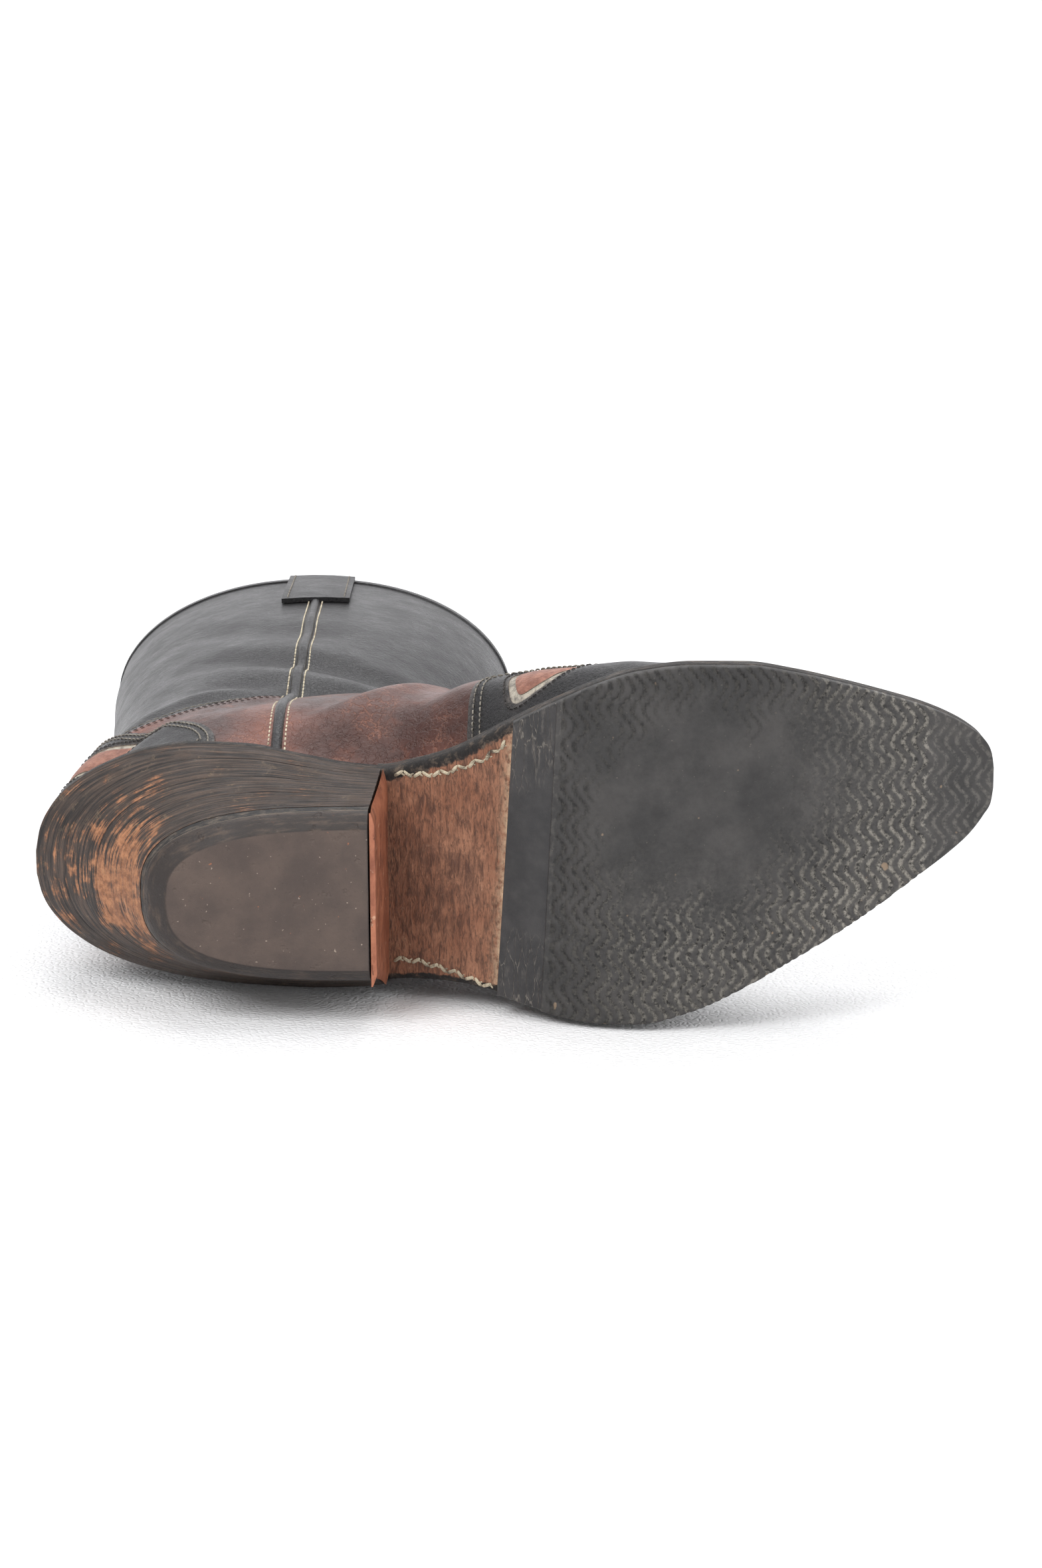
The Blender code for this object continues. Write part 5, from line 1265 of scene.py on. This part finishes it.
def patch(name, field, front, back, looks, nodes, edge_field=None):
    """A leather of the upper where a field is negative, between two offsets, with its cut edge."""
    faces, mix = clip(skin.triangles, field)
    points, normals = take(skin.points, mix), take(skin.normals, mix)
    normals /= np.maximum(np.linalg.norm(normals, axis=1), 1e-12)[:, None]
    out, under = take(front, mix), take(back, mix)
    outer, inner = points + normals * out[:, None], points + normals * under[:, None]
    solid_points, solid_faces, kinds = shell(faces, outer, inner)
    near = take(np.exp(-np.abs(field if edge_field is None else edge_field) / 0.0009), mix)
    trough = take(skin.trough, mix)
    # The crease mark is the trough depth, used for the painted shade in the creases.
    marks = {"edge": np.concatenate([near, near]), "crease_shade": np.concatenate([trough, trough])}
    return add(name, solid_points, solid_faces, looks, nodes, marks, kinds, sharp=50)


def surface_lines(field, level, keep, lift):
    """Lines on the upper where a field has a level and keep holds, with their normals."""
    lines = []
    for chain in contours(skin.triangles, field, level):
        points, normals = take(skin.points, chain), take(skin.normals, chain)
        wanted = keep(points, take(skin.side, chain), take(skin.number, chain))
        points = points + normals * lift
        start = None
        for i in range(len(points) + 1):
            if i < len(points) and wanted[i]:
                start = i if start is None else start
            elif start is not None:
                if i - start > 4:
                    lines.append((points[start:i], normals[start:i]))
                start = None
    return lines


def level_front(field, thick, lip=0.0005):
    """Offset of a leather's face: its thickness, eased down at its cut edge."""
    return thick - lip * np.exp(np.minimum(field, 0) / 0.0008)


BROWN = brown_leather("brown_leather_look")
BLACK = black_leather("black_leather_look")
SHAFT_LOOK = black_leather("shaft_leather_look", 0.36, 4)
RAW = raw_edge("raw_edge_look")
LINING = lining_leather("lining_look")
THREAD = thread_look("thread_look", tone(206, 196, 172), tone(128, 112, 92))
GREY_THREAD = thread_look("grey_thread_look", tone(132, 126, 116), tone(74, 68, 62))
DARK_THREAD = thread_look("dark_thread_look", tone(58, 54, 52), tone(36, 33, 32))
SOLE_THREAD = thread_look("sole_thread_look", tone(200, 186, 158), tone(140, 116, 88))
LOCK_THREAD = thread_look("lock_thread_look", tone(186, 174, 150), tone(72, 60, 50))

# Leathers of the upper
zero = np.zeros(len(skin.points))
inner_face = np.full(len(skin.points), -WALL)
recess = np.where(vamp_field > 0, -0.0009 * np.exp(-np.maximum(vamp_field, 0) / 0.009), 0)
patch("vamp_and_quarters", vamp_field, level_front(vamp_field, 0.0002, 0.0003), inner_face,
      [BROWN, LINING, RAW], ["upper"])
patch("shaft", -vamp_field, recess, inner_face, [SHAFT_LOOK, LINING, RAW], ["upper"],
      edge_field=zero + 1)
wing_cut = np.maximum(wing_field, -wing_inlay)
patch("wingtip_leather", wing_cut, level_front(wing_cut, GAP + OVERLAY - 0.0002), zero - 0.0004,
      [BLACK, BLACK, RAW], ["wingtip"])
counter_cut = np.maximum(counter_field, -counter_inlay)
patch("counter_leather", counter_cut, level_front(counter_cut, GAP + OVERLAY - 0.0002), zero - 0.0004,
      [BLACK, BLACK, RAW], ["counter_overlay"])
BORDER = inlay_border("inlay_border_look")
INLAY = inlay_leather("inlay_look")
for label, field, host in (("wing", wing_inlay, "wingtip"), ("counter", counter_inlay, "counter_overlay")):
    patch(label + "_inlay_border", field - 0.0010, zero + 0.0007, zero - 0.0002, [BORDER, BORDER, RAW],
          [host])
    patch(label + "_inlay", field + INLAY_BORDER, level_front(field + INLAY_BORDER, 0.0013, 0.0004),
          zero + 0.0003, [INLAY, INLAY, RAW], [host])


# Seams of the upper
def above_welt(points, side, number):
    """Clear of the welt."""
    return points[:, 2] > sole_top(points[:, 0]) + np.where(points[:, 0] > HEEL_BREAST, WELT + 0.001, 0.0015)


leather_top = GAP + OVERLAY - 0.0002
pale, grey, dark = Stitches(), Stitches(), Stitches()
for field, level in ((wing_field, -0.0019), (wing_field, -0.0042), (counter_field, -0.0019),
                     (counter_field, -0.0042)):
    for line, normals in surface_lines(field, level, above_welt, leather_top):
        grey.row(line, normals, 0.0022, 0.0019, 0.00058, 0.00050)
for field in (wing_inlay, counter_inlay):
    for line, normals in surface_lines(field, 0.0013, above_welt, leather_top):
        dark.row(line, normals, 0.0018, 0.0015, 0.0005, 0.0004)
for level in (-0.0018, -0.0040):
    for line, normals in surface_lines(vamp_field, level, above_welt, 0.0002):
        dark.row(line, normals, 0.0022, 0.0016, 0.00034, 0.00024)
for level in (0.0065, 0.0100):
    for line, normals in surface_lines(vamp_field, level, above_welt, -0.0002):
        grey.row(line, normals, 0.0026, 0.0021, 0.00050, 0.00035)

PIPING_ROW = 0.0026
seam_field = skin.x - SEAM_X
PIPING_LOOK = black_leather("piping_look", 0.32, 6)
for side, label in ((1, "lateral"), (-1, "medial")):
    def on_seam(points, sides, number):
        """The side seam from the sole to the pull strap."""
        clear = (sides * side > 0) & (number > PIPING_FIRST - 0.1) & (number < PIPING_LAST + 0.2)
        return clear & (points[:, 2] > sole_top(points[:, 0]) + 0.0008)

    for line, normals in surface_lines(seam_field, 0.0, on_seam, 0.0):
        places, outs = spaced(line, 0.0016, normals)
        half = 0.5 * PIPING_WIDTH
        profile = [(-half * math.cos(t), GAP - 0.0006 + (PIPING_HEIGHT + 0.0006) * math.sin(t) ** 0.8)
                   for t in np.linspace(0, math.pi, 9)]
        grid = sweep(places, outs, profile)
        add("piping_" + label, grid.reshape(-1, 3), quads(len(places), len(profile)).tolist(), [PIPING_LOOK],
            ["side_piping_" + label])
    for level in (-PIPING_ROW, PIPING_ROW):
        for line, normals in surface_lines(seam_field, level, on_seam, 0.0):
            pale.row(line, normals, 0.0024, 0.0020, 0.00062, 0.00055)

    def on_strap(points, sides, number):
        """The pull strap's own length."""
        return (sides * side > 0) & (number > STRAP_FIRST + 0.05)

    for level in (-0.5 * STRAP_WIDTH + 0.0022, 0.5 * STRAP_WIDTH - 0.0022):
        for line, normals in surface_lines(seam_field, level, on_strap, GAP + STRAP_THICK):
            grey.row(line, normals, 0.0025, 0.0021, 0.0006, 0.0005)
pale.finish("seam_threads", THREAD, "black_leather")
grey.finish("grey_threads", GREY_THREAD, "black_leather")
dark.finish("dark_threads", DARK_THREAD, "brown_leather")

# Rolled binding round the collar
collar = skin.points.reshape(skin.rows, skin.columns, 3)[-1]
collar_out = skin.normals.reshape(skin.rows, skin.columns, 3)[-1]
collar_line, collar_outs = spaced(np.vstack([collar, collar[:1]]), 0.0022, np.vstack([collar_out, collar_out[:1]]))
binding = [(-0.0036, 0.0000), (-0.0034, 0.0006), (0.0000, 0.0007), (0.0007, 0.0002), (0.0010, -0.5 * WALL),
           (0.0007, -WALL - 0.0002), (0.0000, -WALL - 0.0006), (-0.0034, -WALL - 0.0005), (-0.0036, -WALL)]
upward = np.sign(np.sum(frames(collar_line, collar_outs)[2][:, 2]))
ring = sweep(collar_line, collar_outs, [(s * upward, o) for s, o in binding])
add("collar_binding", ring.reshape(-1, 3), quads(len(collar_line), len(binding)).tolist(), [BLACK],
    ["upper"])


# Sole

def near_edges(count, width_share):
    """Shares across a plate, closer together at its two edges."""
    inner = np.linspace(0, 1, count)
    return np.unique(np.concatenate([inner, width_share, 1 - np.asarray(width_share)]))


def round_over(gap, width, height):
    """How far a rounded edge rises at a distance from the rim."""
    share = np.clip(1 - gap / width, 0, 1)
    return height * (1 - np.sqrt(1 - share ** 2))


def bulk(x, y, seed):
    """Smooth uneven number from -1 to 1, from a few crossing waves."""
    draw = random.Random(seed)
    total = 0
    for _ in range(7):
        angle, wave = draw.uniform(0, math.pi), draw.uniform(0.009, 0.034)
        total = total + np.sin((x * math.cos(angle) + y * math.sin(angle)) * 2 * math.pi / wave
                               + draw.uniform(0, 6.28))
    return total / 3.2


def step_up(value, low, high):
    """Smooth step on arrays."""
    t = np.clip((value - low) / (high - low), 0, 1)
    return t * t * (3 - 2 * t)


def slab(name, x, y, gap, low, high, rounding, looks, nodes, marks, kinds=None):
    """The underside and the edge of a sole piece, on a grid of places."""
    rows, columns = x.shape
    rise = round_over(gap, *rounding)
    bottom = np.stack([x, y, low + rise], axis=-1).reshape(-1, 3)
    faces = quads(rows, columns)
    rim = rim_of(faces)
    ring = sorted({i for edge in rim for i in edge})
    place = {i: len(bottom) + n for n, i in enumerate(ring)}
    upper = bottom[ring].copy()
    upper[:, 2] = high.reshape(-1)[ring]
    walls = [(b, a, place[a], place[b]) for a, b in rim]
    made = {key: np.concatenate([value.reshape(-1), value.reshape(-1)[ring]]) for key, value in marks.items()}
    face_kinds = None if kinds is None else list(kinds.reshape(-1)) + [0] * len(walls)
    return add(name, np.vstack([bottom, upper]), faces.tolist() + walls, looks, nodes, made, face_kinds, 50)


SOLE_LEATHER = sole_leather("sole_leather_look")
WELT_LOOK = welt_look("welt_look")
cosine = LENGTH * 0.5 * (1 - np.cos(np.linspace(0, math.pi, 60)))
xs = np.unique(np.concatenate([cosine, np.linspace(0.001, LENGTH - 0.001, 240)]))
shares = near_edges(61, [0.004, 0.010, 0.018, 0.028, 0.042])
x = np.repeat(xs[:, None], len(shares), axis=1)
left, right = sole_edge(-1, xs)[:, None], sole_edge(1, xs)[:, None]
y = left * (1 - shares) + right * shares
gap = np.minimum(y - left, right - y)
border = np.where(y < 0.5 * (left + right), 0.0052, 0.0030)
rim = np.clip(1 - gap / border, 0, 1) ** 0.5
in_shank = step_up(x, 0.108, 0.118) * (1 - step_up(x, 0.132, 0.142))
stain = in_shank * np.exp(-((y + 0.002) / 0.014) ** 2)
pale_line = np.exp(-np.abs(x - HALF_SOLE_REAR + (2 * (y - left) / (right - left) - 1) * HALF_SOLE_SKEW) / 0.0011)
slab("outsole_leather", x, y, gap, underside(x), underside(x) + OUTSOLE, (0.0022, 0.0018), [SOLE_LEATHER],
     ["outsole"], {"rim": rim, "dark": stain, "pale": pale_line})

# Half sole: plain strip, then waves across the tread
TREAD_PITCH = 0.0034
WAVE_LENGTH = 0.0126
WAVE_SWING = 0.0020
TREAD_DEPTH = 0.0006
TREAD_END = 0.2715
strip_share = STRIP_WIDTH / (LENGTH - HALF_SOLE_REAR)
rows = np.unique(np.concatenate([np.linspace(0, strip_share, 12), [strip_share * 1.012],
                                 np.linspace(strip_share * 1.02, 1, 400)]))
shares = near_edges(92, [0.003, 0.007])
rear_line = HALF_SOLE_REAR - (2 * shares - 1) * HALF_SOLE_SKEW
x = rear_line[None, :] * (1 - rows[:, None]) + LENGTH * rows[:, None]
left, right = sole_edge(-1, x), sole_edge(1, x)
y = left * (1 - shares) + right * shares
gap = np.minimum(y - left, right - y)
uneven = bulk(x, y, 4)
worn = np.hypot((x - 0.203) / 0.036, (y + 0.027) / 0.037) + 0.16 * uneven
fresh = step_up(worn, 0.55, 1.15)
ball_wear = np.hypot((x - 0.236) / 0.030, (y + 0.040) / 0.020) + 0.20 * bulk(x, y, 9)
fresh = fresh * (0.35 + 0.65 * step_up(ball_wear, 0.5, 1.25))
swing = WAVE_SWING * np.sin(2 * math.pi * (y + 0.004) / WAVE_LENGTH + 0.25 * np.sin(2 * math.pi * x / 0.05))
phase = (x - swing) / TREAD_PITCH
wave = 0.5 - 0.5 * np.cos(2 * math.pi * phase)
groove = step_up(wave, 0.42, 0.84)
tread_start = rear_line[None, :] + STRIP_WIDTH + 0.0012
in_tread = step_up(x, tread_start, tread_start + 0.0008) * (1 - step_up(x - 0.4 * swing, TREAD_END, TREAD_END + 0.0016))
depth = TREAD_DEPTH * groove * fresh * in_tread
on_strip = rows[:, None] <= strip_share + 0 * x
low = underside(x) - HALF_SOLE + np.where(on_strip, STRIP_STEP, 0) + depth
toward_toe, toward_outer = step_up(x, 0.222, 0.262), step_up(y, -0.028, 0.020)
dust = np.clip(0.12 + 0.75 * toward_toe + 0.60 * toward_outer * step_up(x, 0.158, 0.2), 0, 1)
dust = dust * (0.10 + 0.90 * groove * fresh) * (1 - 0.7 * step_up(x, TREAD_END, TREAD_END + 0.004))
ends = np.clip(1 - gap / 0.024, 0, 1) ** 0.7
kinds = np.repeat((rows[:-1] < strip_share - 1e-9)[:, None], x.shape[1] - 1, axis=1).astype(int)
# The groove mark darkens the grooves in the tread look as painted shade; the dust mark is real dust.
slab("half_sole_tread", x, y, gap, low, underside(x) - GAP, (0.0008, 0.0007),
     [tread_rubber("tread_look"), strip_rubber("strip_look")], ["half_sole"],
     {"groove": groove * fresh * in_tread, "dust": dust, "scuff": ends}, kinds)

# Welt with its thread
outer, inner = outline_loop(), inset_loop(-WELT_ROOM)
keep = (outer[:, 0] > HEEL_BREAST) & (inner[:, 0] > HEEL_BREAST)
outer, inner = outer[keep], inner[keep]
profile = [(0.00, 0.00), (0.00, 1.00), (0.60, 1.00), (0.86, 0.95), (0.97, 0.80), (1.00, 0.55), (1.00, 0.20),
           (0.96, 0.00)]
rows = []
for a, b in zip(inner, outer):
    for share, level in profile:
        x, y = a * (1 - share) + b * share
        rows.append((x, y, float(sole_top(x)) - GAP + (WELT + GAP) * level))
add("welt_strip", np.array(rows), quads(len(outer), len(profile), closed=True).tolist(), [WELT_LOOK],
    ["welt"])
line = np.array([(*(0.45 * a + 0.55 * b), float(sole_top((0.45 * a + 0.55 * b)[0])) + WELT)
                 for a, b in zip(inner, outer)])
welt_rows = Stitches()
welt_rows.row(line, np.tile([0.0, 0.0, 1.0], (len(line), 1)), 0.0031, 0.0027, 0.0009, 0.0007)
welt_rows.finish("welt_thread", SOLE_THREAD, "black_leather")

# Lockstitch along both edges of the shank: places from the breast as shares of the way to the half sole
LOCKSTITCH = [(-1, [(0.112, -0.0310), (0.119, -0.0312), (0.126, -0.0322), (0.132, -0.0345), (0.138, -0.0372),
                    (0.1425, -0.0405), (0.1465, -0.0440)]),
              (1, [(0.111, 0.0283), (0.118, 0.0280), (0.124, 0.0290), (0.130, 0.0302), (0.136, 0.0318),
                   (0.1415, 0.0332)])]
locks = Stitches()
for side, places in LOCKSTITCH:
    line = flowing(places, 6)
    line = np.column_stack([line, underside(line[:, 0])])
    down = np.tile([0.0, 0.0, -1.0], (len(line), 1))
    locks.row(line, down, 0.0028, 0.0036, 0.0011, 0.0006, 0.55, 0.0001)
    locks.row(line + np.array([0.0013, 0, 0]), down, 0.0028, 0.0030, 0.0008, 0.0005, -0.5, 0.0002)
locks.finish("shank_lockstitch", LOCK_THREAD, "sole_leather")

# Heel: lift, layer and stack

lift_look = lift_rubber("lift_look")
points, side_mark = [], []
centre = np.array([HEEL_BREAST - 0.5 * LIFT_LENGTH, 0.0])
for share in (0.02, 0.25, 0.5, 0.7, 0.85, 0.94, 0.985):
    flat = centre + (lift_outline(LIFT_LENGTH, LIFT_WIDTH) - centre) * share
    points.append(np.column_stack([flat, np.full(len(flat), 0.0)]))
    side_mark.append(0.0)
for share in (0.02, 0.08, 0.2, 0.4, 0.6, 0.8, 0.94, 1.0):
    grow = math.sin(0.5 * math.pi * share)
    flat = lift_outline(LIFT_LENGTH + LIFT_REAR_BEVEL * grow, LIFT_WIDTH + 2 * LIFT_BEVEL * grow)
    points.append(np.column_stack([flat, np.full(len(flat), LIFT_HEIGHT * share)]))
    side_mark.append(1.0 if share < 1 else 2.0)
faces = quads(len(points), HEEL_POINTS, closed=True).tolist()
faces.append(list(range(HEEL_POINTS)))
add("lift_face", np.vstack(points), faces, [lift_look], ["top_lift"],
    {"side": np.repeat(side_mark, HEEL_POINTS)})

base = LIFT_HEIGHT + GAP
top = base + LIFT_BASE
LAYER = 0.0047
points, level_mark, layer_mark, around_mark, worn_mark = [], [], [], [], []
for share in np.linspace(STACK_START, 1, 84):
    ring = heel_ring(0, share)
    level = (share - STACK_START) / (1 - STACK_START)
    ring[:, 2] = (top + 0.0001) * (1 - level) + (underside(ring[:, 0]) - 0.0001) * level
    height = level * (HALF_SOLE + HEEL_RISE - top)
    notch = math.exp(-((((height + 0.0007) % LAYER) - 0.5 * LAYER) / 0.00022) ** 2)
    middle = np.array([ring[:, 0].max(), 0.0])
    pull = ring[:, :2] - middle
    pull /= np.maximum(np.linalg.norm(pull, axis=1), 1e-9)[:, None]
    wobble = 0.00018 * np.sin(height * 2 * math.pi / LAYER + 0.8) - 0.00028 * notch
    ring[:, :2] += pull * wobble
    points.append(ring)
    run = np.concatenate([[0], np.cumsum(np.linalg.norm(np.diff(ring[:, :2], axis=0), axis=1))])
    angle = np.linspace(0, math.pi, HEEL_POINTS)
    rear = np.exp(-((angle - 0.50 * math.pi) / 0.62) ** 2)
    wear = 0.80 * rear * (0.35 + 0.65 * math.exp(-((level - 0.30) / 0.30) ** 2)) + 0.10
    around_mark.append(run)
    level_mark.append(np.full(HEEL_POINTS, height))
    layer_mark.append(np.full(HEEL_POINTS, notch))
    worn_mark.append(wear)
faces = quads(len(points), HEEL_POINTS, closed=True).tolist()
add("heel_stack_leather", np.vstack(points), faces, [stacked_leather("stack_look")],
    ["heel_stack"], {"around": np.concatenate(around_mark), "level": np.concatenate(level_mark),
                     "layer": np.concatenate(layer_mark), "worn": np.concatenate(worn_mark)})

# Breast flap
rows, columns = 24, 30
FLAP_FOOT = 0.0006
points = []
stack_low = LIFT_HEIGHT + LIFT_BASE + 2 * GAP
high = float(underside(HEEL_BREAST + BREAST_SLOPE)) - GAP - FLAP_DROP
for z in np.linspace(FLAP_FOOT, high, rows):
    share = max(0.0, (z - stack_low) / (high - stack_low))
    ring = heel_ring(0, STACK_START + (1 - STACK_START) * share)
    if not points:
        ends = ring[0, :2] + np.linspace(0, 1, columns)[:, None] * (ring[-1, :2] - ring[0, :2])
        points += [(x + GAP, y, z) for x, y in ends]
    for a in np.linspace(0, 1, columns):
        x, y = ring[0, :2] * (1 - a) + ring[-1, :2] * a
        lip = min(a, 1 - a) * columns
        full = BREAST_FLAP * min(1.0, 0.25 + 0.4 * lip)
        wave = 0.00009 * math.sin(a * 13 + share * 3) + 0.00005 * math.sin(a * 31 - share * 6)
        points.append((x + GAP + full + wave, y, z))
add("breast_leather", np.array(points), quads(rows + 1, columns).tolist(), [flap_leather("flap_look")],
    ["breast_flap"])

# What the part's own solids show
for node, look in (("lift_base", welt_look("layer_look")), ("insole", lining_leather("insole_look")),
                   ("pull_strap_lateral", BLACK), ("pull_strap_medial", BLACK)):
    frame["nodes"][node].data.materials.clear()
    frame["nodes"][node].data.materials.append(look)


# Floor and backdrop

def studio():
    """Pale cloth sweep under and behind the boot."""
    side = [(-3.0, 0.0), (0.9, 0.0)]
    side += [(0.9 + 0.6 * math.sin(t), 0.6 * (1 - math.cos(t))) for t in np.linspace(0.05, 0.5 * math.pi, 24)]
    side += [(1.5, 1.2), (1.5, 3.0)]
    points = [(wide, y, z) for y, z in side for wide in (-3.0, 3.0)]
    mesh = bpy.data.meshes.new("sweep")
    mesh.from_pydata(points, [], quads(len(side), 2).tolist())
    mesh.shade_smooth()
    sheet = bpy.data.objects.new("sweep", mesh)
    bpy.context.scene.collection.objects.link(sheet)
    k = Look("sweep_look")
    k.place = k.node("ShaderNodeTexCoord").outputs["Object"]
    weave = k.cells(0.0021, edges=True)
    near = k.noise(0.25, 3, 0.5)
    colour = k.blend(k.ease(near, 0.3, 0.7), tone(236, 236, 238), tone(242, 242, 243))
    sheet.data.materials.append(k.done(colour, 0.8, k.bump(k.ease(weave, 0, 0.3), 0.0002)))


def lamp(name, place, target, size, watts):
    """A soft square light aimed at a point."""
    data = bpy.data.lights.new(name, "AREA")
    data.shape = "SQUARE"
    data.size = size
    data.energy = watts
    light = bpy.data.objects.new(name, data)
    light.location = place
    aim = Vector(target) - Vector(place)
    light.rotation_euler = aim.to_track_quat("-Z", "Y").to_euler()
    bpy.context.scene.collection.objects.link(light)


# Camera: above the sole's normal on its inner side, a little behind square, and moved along for the whole boot
CAMERA_RISE = math.radians(11.5)
CAMERA_YAW = math.radians(-2.0)
CAMERA_DISTANCE = 0.850
CAMERA_AIM = (HEEL_BREAST + 0.0622, -0.0588, 0.0)
LENS = 77.2 * 0.86


def camera():
    """The photograph's view of the sole."""
    e, p = CAMERA_RISE, CAMERA_YAW
    right = (math.cos(p), 0.0, math.sin(p))
    upward = (-math.sin(p) * math.sin(e), -math.cos(e), math.cos(p) * math.sin(e))
    depth = (-math.sin(p) * math.cos(e), math.sin(e), math.cos(p) * math.cos(e))
    right, upward, depth = (Vector(np.array(v) @ TURN) for v in (right, upward, depth))
    data = bpy.data.cameras.new("camera")
    data.lens = LENS
    data.sensor_width = 36
    data.shift_x = -0.036
    data.shift_y = -0.050
    data.clip_start = 0.05
    made = bpy.data.objects.new("camera", data)
    place = Vector(lay([CAMERA_AIM])[0]) - depth * CAMERA_DISTANCE
    turn = Matrix((right, upward, -depth)).transposed().to_4x4()
    made.matrix_world = Matrix.Translation(place) @ turn
    bpy.context.scene.collection.objects.link(made)
    bpy.context.scene.camera = made


studio()
camera()
middle = tuple(lay([(0.14, 0.0, 0.06)])[0])
lamp("key", (-1.1, -1.5, 1.7), middle, 1.2, 42)
lamp("fill", (1.5, -1.3, 0.9), middle, 1.4, 16)
lamp("top", (0.1, 0.5, 2.0), middle, 1.8, 30)
world = bpy.data.worlds.new("studio")
world.use_nodes = True
world.node_tree.nodes["Background"].inputs["Color"].default_value = (1.0, 1.0, 1.0, 1)
world.node_tree.nodes["Background"].inputs["Strength"].default_value = 0.55
bpy.context.scene.world = world
bpy.context.scene.view_settings.view_transform = "Standard"
